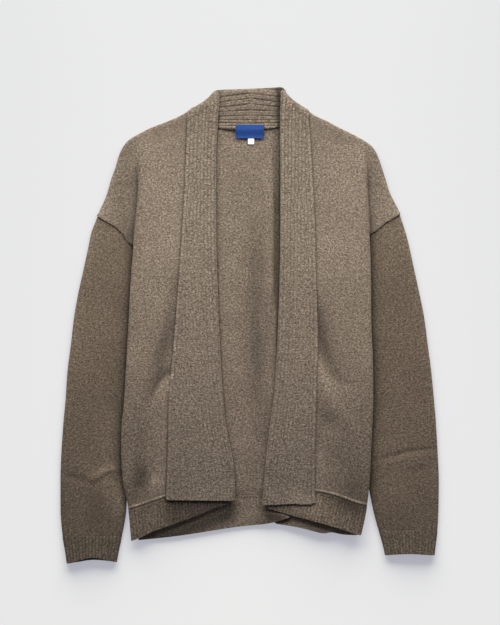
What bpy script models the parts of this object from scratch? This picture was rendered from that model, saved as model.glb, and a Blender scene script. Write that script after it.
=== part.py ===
"""Haori cardigan in felted wool, laid flat on its back on a surface.

Metres, +Z up. +Y points to the neck and +X to the wearer's left sleeve, so a distance w from the
centre line is positive outwards on both sides. The lowest cloth lies at z = 0, and the origin is
the middle of the garment's outline. "right" and "left" are the wearer's.

Every piece is an open surface in the middle of the cloth, lofted through cross-sections, and a
Solidify modifier gives it the cloth's thickness. The fronts roll over the sleeves at both sides and
turn under to their seams with the back, and the collar band lies turned back on the fronts.
"""

import bpy
import numpy as np

MM = 0.001
CLOTH = 2.6 * MM  # thickness of the jersey and of the ribs
HALF = CLOTH / 2
GAP = 0.3 * MM  # between two pieces at a seam, or one piece lying on another
SIDE_GAP = 1.2 * MM  # at the seam under each side, where the front's end slopes down to the back
HIDDEN_GAP = 0.9 * MM  # at the band's curved seam with the front, under the band
LABEL_THICKNESS = 0.7 * MM
CENTRE_BACK = 2.0 * MM  # where the two halves of the collar band are joined

FLOOR_LAYER = HALF  # middle of the cloth that lies on the surface
FRONT_LAYER = FLOOR_LAYER + CLOTH + GAP  # middle of a front where it lies on the back
RISE_START = 40 * MM  # a front rises from here towards its side fold
ROLL_UNDER = 26 * MM  # how far a front turns under at the side, to its seam with the back
ROLL_ZONE = 26 * MM  # height over which the roll opens out, below the armhole
UNDERSIDE = 8.4 * MM  # middle of the turned-under cloth, above the tucked sleeve
BAND_LIFT = CLOTH + 2 * GAP  # from the middle of a front to the middle of the band on it
ROLL_START = 26 * MM  # the band rises from here to its rolled inner edge
BAND_FLANGE = 7 * MM  # the band's turned-under edge, seamed to the front
LIP = 2 * MM  # a front's lap over the sleeve at the armhole seam
SEAM_BLEND = 4 * MM  # height over which the shoulder's edge becomes the armhole's
LIP_FADE = 8 * MM  # height above the armhole's foot over which the lap begins
COLLAR_TOP_FALL = 30 * MM  # the fall hidden behind the back neck
CUFF_RISE = 2.5 * MM  # how far the front of a cuff's mouth is drawn up

COLOURS = {
    "jersey": (0.205, 0.163, 0.118),
    "jersey_sleeve": (0.165, 0.130, 0.094),
    "rib_band": (0.200, 0.160, 0.120),
    "rib_trim": (0.150, 0.118, 0.088),
    "label": (0.035, 0.085, 0.300),
    "size_tab": (0.800, 0.800, 0.780),
}
ROUGHNESS = {"label": 0.55}
MATERIAL_OF = {
    "back_panel": "jersey",
    "front": "jersey",
    "sleeve": "jersey_sleeve",
    "band": "rib_band",
    "hem": "rib_trim",
    "cuff": "rib_trim",
    "neck_label": "label",
    "size_tab": "size_tab",
}


def table(names, rows):
    """Named columns of metres, from rows of millimetres."""
    columns = np.array(rows, float).T * MM
    return dict(zip(names.split(), columns))


# The body's side folds, from the shoulder down to the hem: distance from the centre line.
FOLDS = table(
    "y     right   left",
    [
        (300, 178.0, 189.0),
        (200, 181.0, 190.0),
        (126, 187.5, 193.0),
        (0, 193.0, 194.0),
        (-60, 197.0, 197.0),
        (-120, 200.5, 197.5),
        (-180, 205.0, 195.0),
        (-240, 203.0, 192.0),
        (-290, 194.0, 187.5),
        (-346, 188.0, 176.0),
    ],
)

# The shoulder line, from beside the collar band down to the armhole seam.
SHOULDERS = table(
    "y     right   left",
    [
        (343, 97.0, 94.0),
        (324, 132.0, 125.0),
        (306, 174.0, 160.0),
        (292, 196.5, 185.5),
        (280, 205.0, 199.0),
        (252, 214.6, 211.5),
        (212, 227.4, 224.0),
        (182, 240.2, 238.0),
        (172, 243.0, 239.5),
    ],
)
SHOULDER_TOP = 340 * MM

# The armhole seams' turns, with straight stretches between. The last one is hidden under the body.
ARMHOLES = table(
    "right_w right_y left_w left_y",
    [
        (243, 172, 239.5, 174),
        (214, 153, 213.0, 157),
        (190, 127, 194.5, 143),
        (180, 94, 185.0, 112),
    ],
)
ARMHOLE_TOP = {side: ARMHOLES[f"{side}_y"][0] for side in ("right", "left")}
ARMHOLE_FOOT = {side: ARMHOLES[f"{side}_y"][2] for side in ("right", "left")}

# Both edges of the collar band on the fronts. Above 343 the outer edge is the shoulder's.
BANDS = table(
    "y     right_in right_out left_in left_out",
    [
        (374, 49.5, 57.0, 50.0, 56.0),
        (362, 49.0, 68.0, 49.6, 66.0),
        (343, 50.0, 97.0, 49.0, 92.0),
        (300, 52.5, 101.8, 48.8, 96.5),
        (220, 53.8, 105.0, 49.4, 101.4),
        (135, 53.8, 109.8, 49.4, 105.2),
        (50, 51.0, 116.2, 47.4, 106.8),
        (-36, 47.8, 122.6, 44.0, 108.6),
        (-121, 42.0, 127.4, 38.0, 106.6),
        (-170, 36.5, 129.8, 31.5, 105.4),
        (-204, 29.5, 130.7, 27.7, 104.7),
        (-236, 24.5, 131.3, 24.5, 104.0),
        (-284, 22.6, 133.0, 20.0, 103.8),
    ],
)
WRAP_FOOT = 345 * MM  # above this the band goes over the shoulder's edge and down behind it
FLANGE_TOP = 360 * MM  # above this the band's inner edge is only turned down, over the collar
BAND_FOOT = {"right": -280 * MM, "left": -286 * MM}

# Height of the band's rolled inner edge: it stands up on the wearer's left.
BAND_ROLLS = table(
    "y     right   left",
    [
        (374, 8.4, 8.8),
        (280, 8.6, 12.0),
        (150, 8.6, 14.5),
        (0, 8.6, 12.5),
        (-120, 8.6, 9.0),
        (-284, 8.8, 8.8),
    ],
)

# Height of a front at the crest of its side fold, and on the dropped shoulder outside it.
CRESTS = table(
    "y     crest   low",
    [
        (343, 7.0, 6.9),
        (280, 8.2, 8.0),
        (200, 10.6, 7.9),
        (126, 11.9, 7.9),
        (-240, 11.9, 7.9),
        (-300, 8.4, 6.0),
        (-346, 5.6, 4.0),
    ],
)

# Both edges of each sleeve below the armhole, down to the cuff's mouth.
SLEEVES = table(
    "y     right_out right_in left_out left_in",
    [
        (172, 243.0, 180.0, 239.5, 184.0),
        (145, 254.0, 180.0, 250.0, 184.0),
        (87, 266.0, 181.0, 263.0, 184.5),
        (15, 280.0, 184.0, 278.5, 185.0),
        (-76, 291.5, 189.5, 290.6, 188.0),
        (-160, 298.0, 195.0, 298.5, 187.5),
        (-250, 302.7, 196.0, 302.7, 189.5),
        (-295, 302.6, 197.0, 302.0, 197.5),
        (-329, 300.5, 202.6, 299.8, 206.3),
        (-351, 297.0, 207.4, 297.5, 213.0),
        (-380, 292.2, 213.0, 294.0, 219.0),
    ],
)
SLEEVE_STEPS = (0, 0.02, 0.06, 0.12, 0.2, 0.3, 0.42, 0.55, 0.68, 0.8, 0.91, 1)
SLEEVE_GAP = 0.8 * MM  # at the armhole seam, which the sleeve meets at a slant
CUFF_GAP = 0.5 * MM  # at the seam between a sleeve and its cuff
TUBE_POINTS = 20  # points round a sleeve or a cuff
CUFF_SEAM = {"right": -337.6 * MM, "left": -328.8 * MM}
CUFF_MOUTH = {"right": -380 * MM, "left": -368.8 * MM}

# The seam between a front and its hem rib, and the rib's lower edge, by distance from the centre.
FRONT_HEMS = table(
    "w     right_seam right_edge left_seam left_edge",
    [
        (20, -233.0, -283.0, -241.0, -292.5),
        (60, -248.0, -296.0, -252.0, -305.6),
        (100, -262.0, -312.0, -263.5, -317.6),
        (134, -273.0, -323.0, -270.5, -328.5),
        (160, -282.0, -334.0, -279.0, -333.5),
        (194, -293.0, -346.0, -288.5, -336.0),
    ],
)
HEM_TILT_TOP = -110 * MM  # above this the cloth's rows run straight across
HEM_GAP = 0.7 * MM  # at the slanted seam between a front and its hem rib
HEM_STEPS = (0, 0.33, 0.66, 1)
FRONT_POINTS = 17  # points across a front's section
BAND_POINTS = 15  # points across the band's section
COLLAR_POINTS = 13  # points across the section of the collar at the back neck
BACK_POINTS = 15  # points across the back's hem rib

# The lower edge of the back's hem rib, by place across the garment.
BACK_HEM = table(
    "x     edge",
    [
        (-178, -343.0),
        (-101, -335.0),
        (-24, -322.4),
        (39, -315.5),
        (98, -325.5),
        (165, -336.0),
    ],
)
BACK_HEM_SEAM = -276.8 * MM

# The seam between the back and the collar, and the collar's top fold.
NECK = table(
    "x     seam   top",
    [
        (-58, 312.8, 372.5),
        (-45, 312.2, 376.0),
        (-22, 310.6, 377.0),
        (22, 312.2, 378.6),
        (44, 314.8, 380.0),
        (58, 315.6, 377.0),
    ],
)
NECK_HALF = 55 * MM
SHOULDER_WING = 63 * MM  # where the back's shoulder starts, beside the neck

# A soft ridge of the back's cloth that stands up beside the wearer's left band.
BACK_RIDGE = {"x": 31 * MM, "width": 9 * MM, "height": 6 * MM, "y": 120 * MM, "length": 120 * MM}

LABEL_CENTRE = (0.5 * MM, 308.4 * MM)
LABEL_SIZE = (45 * MM, 22 * MM)
LABEL_HEIGHT = 6.7 * MM  # middle of the label on the collar's lower edge
LABEL_DIP = 1.6 * MM  # how far it dips below that, towards the back panel
TAB_CENTRE = (2.2 * MM, 295.0 * MM)
TAB_SIZE = (10 * MM, 13 * MM)


def gentle_slopes(places, values):
    """Each row's slope: the harmonic mean of the slopes on both sides, or 0 at a high or a low."""
    rates = np.diff(values) / np.diff(places)
    before, after = rates[:-1], rates[1:]
    same_way = before * after > 0
    mean = 2 * before * after / np.where(same_way, before + after, 1)
    return np.concatenate([rates[:1], np.where(same_way, mean, 0), rates[-1:]])


def read(columns, name, at, key="y"):
    """A column at any place: a cubic through the rows that never swings past them."""
    order = np.argsort(columns[key])
    places, values = columns[key][order], columns[name][order]
    slopes = gentle_slopes(places, values)
    at = np.clip(at, places[0], places[-1])
    i = np.clip(np.searchsorted(places, at) - 1, 0, len(places) - 2)
    step = places[i + 1] - places[i]
    t = (at - places[i]) / step
    return (
        values[i] * (1 + 2 * t) * (1 - t) ** 2
        + slopes[i] * step * t * (1 - t) ** 2
        + values[i + 1] * t**2 * (3 - 2 * t)
        - slopes[i + 1] * step * t**2 * (1 - t)
    )


def ease(t):
    """Rises smoothly from 0 to 1."""
    t = np.clip(t, 0, 1)
    return t * t * (3 - 2 * t)


def spline(points, count, ring=False):
    """A smooth line drawn by control points: a uniform cubic B-spline that reaches both ends."""
    p = np.array(points, float)
    if ring:
        p = np.concatenate([p[-1:], p, p[:2]])
    else:
        p = np.concatenate([[2 * p[0] - p[1]], p, [2 * p[-1] - p[-2]]])
    spans = len(p) - 3
    at = np.linspace(0, spans, count, endpoint=not ring)
    i = np.minimum(at.astype(int), spans - 1)
    t = (at - i)[:, None]
    return (
        p[i] * (1 - t) ** 3
        + p[i + 1] * (3 * t**3 - 6 * t**2 + 4)
        + p[i + 2] * (-3 * t**3 + 3 * t**2 + 3 * t + 1)
        + p[i + 3] * t**3
    ) / 6


def sign_of(side):
    return -1 if side == "right" else 1


def shoulder_end(side, y):
    """The outer edge of shoulder and armhole, with the armhole seam as straight stretches."""
    seam = y < ARMHOLE_TOP[side]
    return armhole_w(side, y) if seam else read(SHOULDERS, side, y)


def armhole_w(side, y):
    return np.interp(y, ARMHOLES[f"{side}_y"][::-1], ARMHOLES[f"{side}_w"][::-1])


def armhole_y(side, w):
    return np.interp(w, ARMHOLES[f"{side}_w"][::-1], ARMHOLES[f"{side}_y"][::-1])


def crest_place(side, y):
    """Distance from the centre line of the crest of a front, just inside its side fold or edge."""
    return min(read(FOLDS, side, y) - 11 * MM, shoulder_end(side, y) - 14 * MM)


def front_height(side, w, y):
    """Middle of a front between its inner edge and the crest of its side fold."""
    rise = read(CRESTS, "crest", y) - FRONT_LAYER
    across = np.clip((w - RISE_START) / (crest_place(side, y) - RISE_START), 0, 1)
    return FRONT_LAYER + rise * across**2


def hem_line(side, name, w):
    return read(FRONT_HEMS, f"{side}_{name}", w, key="w")


def front_section(side, y, inner_shift=0):
    """Control points (w, z) across a front, from its inner edge round the side fold to its end.

    The cloth's rows may slant: inner_shift is how much higher this one lies at the inner edge.
    """
    inner = read(BANDS, f"{side}_in", y + inner_shift) + HALF + BAND_FLANGE + HIDDEN_GAP
    fold = read(FOLDS, side, y) - HALF
    crest = read(CRESTS, "crest", y)
    low = read(CRESTS, "low", y)
    foot, top = ARMHOLE_FOOT[side], ARMHOLE_TOP[side]
    chest = [(w, front_height(side, w, y)) for w in np.linspace(inner, crest_place(side, y), 7)]
    rolled = ease((foot - y) / ROLL_ZONE)
    if y >= foot:
        on_seam = ease((top + SEAM_BLEND - y) / SEAM_BLEND)
        lip = LIP * on_seam * ease((y - foot) / LIP_FADE)
        reach = shoulder_end(side, y) - HALF * (1 - on_seam) + lip
        drop = (1 - on_seam) * (low - CLOTH - GAP) + on_seam * GAP
        step_w = min(fold, reach - 6 * MM)
        rest = [  # the crest's edge, the step down, the dropped shoulder and the rounded end
            (step_w - 3 * MM, crest),
            (step_w, (crest + low) / 2),
            (step_w + 0.25 * (reach - step_w), low),
            (step_w + 0.6 * (reach - step_w), low),
            (reach - 1.5 * MM, low),
            (reach - 0.2 * MM, low - 0.5 * drop),
            (reach, low - drop),
        ]
    else:
        under = min(UNDERSIDE, crest - 3.5 * MM)
        depth = under - FLOOR_LAYER
        turned = ROLL_UNDER * rolled
        rest = [  # the crest's edge, the fold, and the cloth turned under, down to the seam
            (fold - 2.5 * MM, crest),
            (fold + 0.2 * MM, (2 * crest + under) / 3),
            (fold - 0.5 * MM * rolled, under * rolled + low * (1 - rolled)),
            (fold - 0.3 * turned, under - 0.5 * MM * (1 - rolled)),
            (fold - 0.6 * turned, FLOOR_LAYER + 0.65 * depth),
            (fold - 0.85 * turned, FLOOR_LAYER + 0.1 * depth + 1.5 * MM * (1 - rolled)),
            (fold - turned, FLOOR_LAYER),
        ]
    return chest, rest


def placed(side, points, y):
    """Sections (w, z) of one side, made points (x, y, z)."""
    points = np.asarray(points, float)
    return np.column_stack([sign_of(side) * points[:, 0], np.broadcast_to(y, len(points)), points[:, 1]])


def front_stations(side):
    """Heights of a front's cross-sections, closer together where its outline or fold turns."""
    turn, foot = ARMHOLES[f"{side}_y"][1:3] / MM
    shoulder = [340, 328, 316, 305, 295, 286, 272, 245, 210, 183, 174]
    armhole = [165, turn, foot + 1, foot - 5, foot - 12, foot - 19, foot - 26]
    flank = [60, 0, -60, -120, -170, -215, -255]
    return np.array(shoulder + armhole + flank + [side_seam_foot(side) / MM]) * MM


def side_seam_foot(side):
    """Height of the hem rib's seam at the side fold."""
    return hem_line(side, "seam", read(FOLDS, side, -290 * MM))


def slanted(side, y, seam_share, edge_share):
    """A front's row of points, as parallel to the hem's seam and lower edge as the shares say."""

    def shift(w):
        out_to = np.maximum.accumulate(w)
        lines = hem_line(side, "seam", out_to), hem_line(side, "edge", out_to)
        return sum(share * (line - line[-1]) for share, line in zip((seam_share, edge_share), lines))

    chest, rest = front_section(side, y)
    inner_shift = shift(np.array([chest[0][0], rest[1][0]]))[0]
    chest, rest = front_section(side, y, inner_shift)
    section = spline(chest + rest, FRONT_POINTS)
    return placed(side, section, y + shift(section[:, 0]))


def front_rows(side):
    """Cross-sections of a front, from the shoulder down to the seam with its hem rib."""
    foot = side_seam_foot(side)
    rows = []
    for y in front_stations(side):
        rows.append(slanted(side, y, ease((HEM_TILT_TOP - y) / (HEM_TILT_TOP - foot)), 0))
    return np.array(rows)


def hem_heights(side):
    """Heights of the hem rib's cross-sections at the side fold."""
    top = side_seam_foot(side) - HEM_GAP
    edge = hem_line(side, "edge", read(FOLDS, side, -340 * MM))
    return [top + (edge - top) * t for t in HEM_STEPS]


def hem_rows(side):
    """Cross-sections of a front's hem rib, which carries the front's own section on down."""
    return np.array([slanted(side, y, 1 - t, t) for t, y in zip(HEM_STEPS, hem_heights(side))])


def band_section(side, y):
    """Control points (w, z) across the band: outer edge, over the front, inner roll, flange."""
    inner = read(BANDS, f"{side}_in", y) + HALF
    outer = read(BANDS, f"{side}_out", y)
    roll = read(BAND_ROLLS, side, y)
    start = inner + min(ROLL_START, 0.55 * (outer - inner))
    over = [(w, front_height(side, w, y) + BAND_LIFT) for w in np.linspace(outer, start, 5)]
    if y > WRAP_FOOT:
        edge, top = outer - HALF, over[0][1]
        over = [
            (edge, GAP),
            (edge, 0.5 * top),
            (edge - 0.6 * MM, top - 1.2 * MM),
            (edge - 2.5 * MM, top),
            (0.5 * (edge + inner) + 1 * MM, top),
        ]
    rise = min(10 * MM, 0.4 * (outer - inner))
    flange = BAND_FLANGE * ease((FLANGE_TOP - y) / (FLANGE_TOP - WRAP_FOOT))
    foot = FRONT_LAYER + (roll - 3.4 * MM - FRONT_LAYER) * (1 - flange / BAND_FLANGE)
    return over + [
        (inner + rise, 0.4 * over[-1][1] + 0.6 * roll),
        (inner + 0.3 * rise, roll),
        (inner + 0.2 * MM, roll - 0.4 * MM),
        (inner - 0.4 * MM, 0.5 * (roll + foot)),
        (inner + 0.2 * MM, foot + 0.6 * MM),
        (inner + 0.45 * flange, foot + 0.1 * MM),
        (inner + flange, foot),
    ]


def band_rows(side):
    over_the_edge = [370, 363, 355, 347]
    down_the_front = [343, 310, 260, 200, 140, 80, 20, -40, -90, -130, -165, -200, -240]
    stations = np.array(over_the_edge + down_the_front + [BAND_FOOT[side] / MM]) * MM
    return np.array([placed(side, spline(band_section(side, y), BAND_POINTS), y) for y in stations])


def collar_rows(side):
    """Sections (y, z) of the collar at the back neck: stand, top fold and the fall hidden behind."""
    ends = {"right": (-NECK_HALF, CENTRE_BACK - GAP / 2), "left": (CENTRE_BACK + GAP / 2, NECK_HALF)}
    rows = []
    for x in np.linspace(*ends[side], 5):
        seam = read(NECK, "seam", x, key="x")
        top = read(NECK, "top", x, key="x") - HALF
        stand = FRONT_LAYER + 0.5 * MM
        section = [
            (seam - 2 * MM, stand - 0.4 * MM),
            (seam + 20 * MM, stand),
            (top - 25 * MM, stand + 0.6 * MM),
            (top - 8 * MM, stand + 1.2 * MM),
            (top - 1.5 * MM, stand + 0.9 * MM),
            (top + 0.3 * MM, 0.5 * (stand + FLOOR_LAYER) + 0.5 * MM),
            (top - 1 * MM, FLOOR_LAYER),
            (top - 10 * MM, FLOOR_LAYER),
            (top - COLLAR_TOP_FALL, FLOOR_LAYER),
        ]
        points = spline(section, COLLAR_POINTS)
        rows.append(np.column_stack([np.full(len(points), x), points[:, 0], points[:, 1]]))
    return np.array(rows)


def tube_section(outer, inner, thick, puff):
    """Control points (w, z) round a sleeve that lies flat, with rounded sides."""
    top = FLOOR_LAYER + thick
    middle = 0.5 * (outer + inner)
    wide = outer - inner
    return [
        (inner + 0.3 * wide, FLOOR_LAYER),
        (middle, FLOOR_LAYER),
        (outer - 0.15 * wide, FLOOR_LAYER),
        (outer - 3 * MM, FLOOR_LAYER),
        (outer + 0.6 * MM, FLOOR_LAYER + 0.8 * MM),
        (outer + 0.6 * MM, top - 0.8 * MM),
        (outer - 3 * MM, top + 0.2 * puff),
        (outer - 0.15 * wide, top + 0.8 * puff),
        (middle, top + puff),
        (inner + 0.3 * wide, top + 0.6 * puff),
        (inner + 0.14 * wide, top),
        (inner + 3 * MM, top),
        (inner - 0.6 * MM, top - 0.8 * MM),
        (inner - 0.6 * MM, FLOOR_LAYER + 0.8 * MM),
        (inner + 3 * MM, FLOOR_LAYER),
    ]


def tube_row(side, y, thick, puff):
    outer = read(SLEEVES, f"{side}_out", y) - HALF
    inner = read(SLEEVES, f"{side}_in", y) + HALF
    return spline(tube_section(outer, inner, thick, puff), TUBE_POINTS, ring=True), outer, inner


def sleeve_rows(side):
    """Rings down a sleeve: the first follows the armhole seam, and the last the cuff's seam."""
    top = ARMHOLE_TOP[side]
    rows = []
    for step in SLEEVE_STEPS:
        y = top + step * (CUFF_SEAM[side] - top)
        grown = ease(step / 0.2)
        section, outer, inner = tube_row(side, y, (3.2 + grown) * MM, 2.2 * MM * grown)
        armhole = armhole_y(side, section[:, 0]) - SLEEVE_GAP - top
        rows.append(placed(side, section, y + armhole * (1 - ease(step / 0.45)) + step * CUFF_GAP / 2))
    return np.array(rows)


def cuff_rows(side):
    """Rings down a cuff, whose front edge is drawn up a little at the mouth."""
    seam, mouth = CUFF_SEAM[side] - CUFF_GAP / 2, CUFF_MOUTH[side]
    rows = []
    for t in (0, 0.35, 0.7, 1):
        y = seam * (1 - t) + mouth * t
        section, outer, inner = tube_row(side, y, 4.2 * MM, 1.8 * MM)
        arch = np.sin(np.pi * (section[:, 0] - inner) / (outer - inner)).clip(0)
        front = ease((section[:, 1] - FLOOR_LAYER) / (3 * MM))
        rows.append(placed(side, section, y + t * CUFF_RISE * arch * front))
    return np.array(rows)


def back_end(side, y):
    """How far the back reaches: to the shoulder, the armhole seam, or the seam under the side."""
    if y >= ARMHOLE_TOP[side]:
        return read(SHOULDERS, side, y) - HALF
    foot = ARMHOLE_FOOT[side]
    if y >= foot:
        return armhole_w(side, y)
    heights = front_stations(side)[::-1]
    ends = [front_section(side, height)[1][-1][0] for height in heights]
    upright = 1.5 * (1 - ease((foot - y) / ROLL_ZONE))
    return min(np.interp(y, heights, ends) - SIDE_GAP - upright * HALF, armhole_w(side, y))


def back_rows():
    """The back panel, flat on the surface, with the soft ridge beside the wearer's left band."""
    heights = {round(y, 4) for side in ("right", "left") for y in front_stations(side)}
    heights = [y for y in sorted(heights, reverse=True) if y > BACK_HEM_SEAM + 4 * MM]
    rows = []
    for y in heights + [BACK_HEM_SEAM + GAP / 2]:
        ends = back_end("right", y), back_end("left", y)
        ridge_x = BACK_RIDGE["x"] + BACK_RIDGE["width"] * np.array([-1.6, -1, -0.5, 0, 0.5, 1, 1.6])
        x = np.concatenate([[-ends[0], -0.4 * ends[0]], ridge_x, [ends[1]]])
        ridge = BACK_RIDGE["height"] * np.exp(-2 * ((x - BACK_RIDGE["x"]) / BACK_RIDGE["width"]) ** 2)
        ridge = ridge * ease(1.6 - abs(y - BACK_RIDGE["y"]) / BACK_RIDGE["length"])
        z = FLOOR_LAYER + np.where(ridge > 0.1 * MM, ridge, 0)
        rows.append(np.column_stack([x, np.full(len(x), y), z]))
    return np.array(rows)


def back_hem_rows():
    """The back's hem rib, which runs between the two turned-under sides."""
    top = BACK_HEM_SEAM - GAP / 2
    rows = []
    for t, y_right, y_left in zip(HEM_STEPS, hem_heights("right"), hem_heights("left")):
        right_end = front_section("right", y_right)[1][-1][0] - HEM_GAP
        left_end = front_section("left", y_left)[1][-1][0] - HEM_GAP
        x = np.linspace(-right_end, left_end, BACK_POINTS)
        edge = read(BACK_HEM, "edge", x, key="x")
        y = top + (edge - top) * t
        rows.append(np.column_stack([x, y, np.full(BACK_POINTS, FLOOR_LAYER)]))
    return np.array(rows)


def label_rows():
    """The neck label: it lies on the collar's lower edge and dips towards the back panel."""
    across, down = LABEL_SIZE
    x = LABEL_CENTRE[0] + across * np.linspace(-0.5, 0.5, 4)
    rows = []
    for t in np.linspace(0, 1, 6):
        y = LABEL_CENTRE[1] + down * (0.5 - t)
        z = LABEL_HEIGHT - LABEL_DIP * ease((t - 0.45) / 0.5)
        rows.append(np.column_stack([x, np.full(4, y), np.full(4, z)]))
    return np.array(rows)


def tab_rows():
    """The size tab, which comes out from under the label."""
    across, down = TAB_SIZE
    x = TAB_CENTRE[0] + across * np.linspace(-0.5, 0.5, 3)
    z = CLOTH + GAP + LABEL_THICKNESS / 2
    y = TAB_CENTRE[1] + down * np.linspace(0.5, -0.5, 4)
    return np.array([np.column_stack([x, np.full(3, row), np.full(3, z)]) for row in y])


def material(name):
    made = bpy.data.materials.new(name)
    made.use_nodes = True
    shader = made.node_tree.nodes["Principled BSDF"]
    shader.inputs["Base Color"].default_value = (*COLOURS[name], 1)
    shader.inputs["Roughness"].default_value = ROUGHNESS.get(name, 0.95)
    shader.inputs["Metallic"].default_value = 0
    return made


def wall(name, rows, slot, collection, thickness=CLOTH, ring=False):
    """An open surface through the rows, made a wall of cloth by a Solidify modifier."""
    count, across = rows.shape[:2]
    index = np.arange(count * across).reshape(count, across)
    if ring:
        index = np.column_stack([index, index[:, 0]])
    quads = np.stack([index[:-1, :-1], index[:-1, 1:], index[1:, 1:], index[1:, :-1]], axis=-1)
    mesh = bpy.data.meshes.new(name)
    mesh.from_pydata(rows.reshape(-1, 3).tolist(), [], quads.reshape(-1, 4).tolist())
    mesh.materials.append(slot)
    mesh.shade_smooth()
    piece = bpy.data.objects.new(name, mesh)
    collection.objects.link(piece)
    solidify = piece.modifiers.new("Cloth thickness", "SOLIDIFY")
    solidify.thickness = thickness
    solidify.offset = 0
    return piece


def helper(piece):
    """Marks an object as a cutter or a tool, which isn't part of the garment."""
    piece.hide_render = True
    piece.display_type = "WIRE"


def boolean(piece, operation, other):
    made = piece.modifiers.new(operation.title(), "BOOLEAN")
    made.operation = operation
    made.solver = "EXACT"
    made.use_self = operation == "UNION"
    made.object = other
    helper(other)


def neck_cutter(collection, slot):
    """The block that scoops the neck out of the back panel, with its lower edge on the seam."""
    x = np.linspace(-SHOULDER_WING, SHOULDER_WING, 7)
    seam = read(NECK, "seam", x, key="x")
    past_the_top = np.full(7, SHOULDER_TOP + 20 * MM)
    rows = np.array([np.column_stack([x, y, np.zeros(7)]) for y in (seam, past_the_top)])
    return wall("neck_cutter", rows, slot, collection, thickness=20 * MM)


def main():
    for old in list(bpy.data.objects):
        bpy.data.objects.remove(old, do_unlink=True)
    garment = bpy.data.collections.new("haori_cardigan")
    tools = bpy.data.collections.new("cutters")
    for collection in (garment, tools):
        bpy.context.scene.collection.children.link(collection)
    slots = {name: material(name) for name in COLOURS}

    back = wall("back_panel", back_rows(), slots[MATERIAL_OF["back_panel"]], garment)
    boolean(back, "DIFFERENCE", neck_cutter(tools, slots["jersey"]))
    wall("back_hem", back_hem_rows(), slots[MATERIAL_OF["hem"]], garment)
    for side in ("right", "left"):
        wall(f"front_{side}", front_rows(side), slots[MATERIAL_OF["front"]], garment)
        wall(f"front_hem_{side}", hem_rows(side), slots[MATERIAL_OF["hem"]], garment)
        wall(f"sleeve_{side}", sleeve_rows(side), slots[MATERIAL_OF["sleeve"]], garment, ring=True)
        wall(f"cuff_{side}", cuff_rows(side), slots[MATERIAL_OF["cuff"]], garment, ring=True)
        band = wall(f"collar_band_{side}", band_rows(side), slots[MATERIAL_OF["band"]], garment)
        collar = wall(f"collar_{side}", collar_rows(side), slots[MATERIAL_OF["band"]], tools)
        boolean(band, "UNION", collar)
    wall("neck_label", label_rows(), slots["label"], garment, thickness=LABEL_THICKNESS)
    wall("size_tab", tab_rows(), slots["size_tab"], garment, thickness=LABEL_THICKNESS)


main()
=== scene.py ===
# %% [markdown]
# # A haori cardigan, laid flat
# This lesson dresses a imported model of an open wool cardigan. The model gives plain walls of cloth in
# the right places. Here each piece is made again as a fine surface: rolled edges, ribs, creases and
# felted, heathered wool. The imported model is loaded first, because each new piece stands for one of
# its nodes.

import bpy
import numpy as np
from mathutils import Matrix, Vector


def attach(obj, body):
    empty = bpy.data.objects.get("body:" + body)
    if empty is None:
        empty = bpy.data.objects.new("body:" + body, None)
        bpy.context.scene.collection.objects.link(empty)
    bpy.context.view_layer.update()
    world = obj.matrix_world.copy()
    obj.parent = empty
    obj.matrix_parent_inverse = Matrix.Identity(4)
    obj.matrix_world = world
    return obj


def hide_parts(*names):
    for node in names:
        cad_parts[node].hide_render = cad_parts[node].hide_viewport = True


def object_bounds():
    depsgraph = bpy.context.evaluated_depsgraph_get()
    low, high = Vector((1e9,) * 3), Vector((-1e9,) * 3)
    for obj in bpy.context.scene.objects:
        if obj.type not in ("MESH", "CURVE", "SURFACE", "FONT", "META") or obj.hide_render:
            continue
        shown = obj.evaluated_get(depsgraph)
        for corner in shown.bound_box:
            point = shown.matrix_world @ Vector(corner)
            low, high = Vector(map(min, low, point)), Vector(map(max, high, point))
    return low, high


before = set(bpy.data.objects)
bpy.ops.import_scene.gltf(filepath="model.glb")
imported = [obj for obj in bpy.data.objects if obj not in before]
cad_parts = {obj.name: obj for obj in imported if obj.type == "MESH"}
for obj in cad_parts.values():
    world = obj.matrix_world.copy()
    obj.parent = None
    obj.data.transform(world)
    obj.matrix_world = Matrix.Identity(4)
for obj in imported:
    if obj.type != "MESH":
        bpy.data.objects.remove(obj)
cad_low, cad_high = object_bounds()
print("pieces in the frame:", len(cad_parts), "| height", round(cad_high.z * 1000, 1), "mm")

# %% [markdown]
# ## Sizes in tables
# The garment lies in the XY plane with the neck towards +Y, and a distance w from the centre line is
# positive on both sides. Its outline changes slowly down the body, so a few rows in a table say enough.
# A table is read with a cubic that never swings past its rows, which keeps edges calm. A plain spline
# would be shorter, but it bulges beside a sudden change, as at the end of a shoulder.

# %% Tables and smooth reading
MM = 0.001
CLOTH = 2.6 * MM  # thickness of jersey and rib
HALF = CLOTH / 2
GAP = 0.3 * MM
SIGN = {"right": -1, "left": 1}


def table(text):
    """Named columns of metres, from lines of millimetres under a line of names."""
    names, *rows = text.strip().splitlines()
    return dict(zip(names.split(), np.array([row.split() for row in rows], float).T * MM))


def gentle_slopes(places, values):
    """Each row's slope: the harmonic mean of the slopes on both sides, or 0 at a high or a low."""
    rates = np.diff(values) / np.diff(places)
    before, after = rates[:-1], rates[1:]
    same_way = before * after > 0
    mean = 2 * before * after / np.where(same_way, before + after, 1)
    return np.concatenate([rates[:1], np.where(same_way, mean, 0), rates[-1:]])


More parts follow.
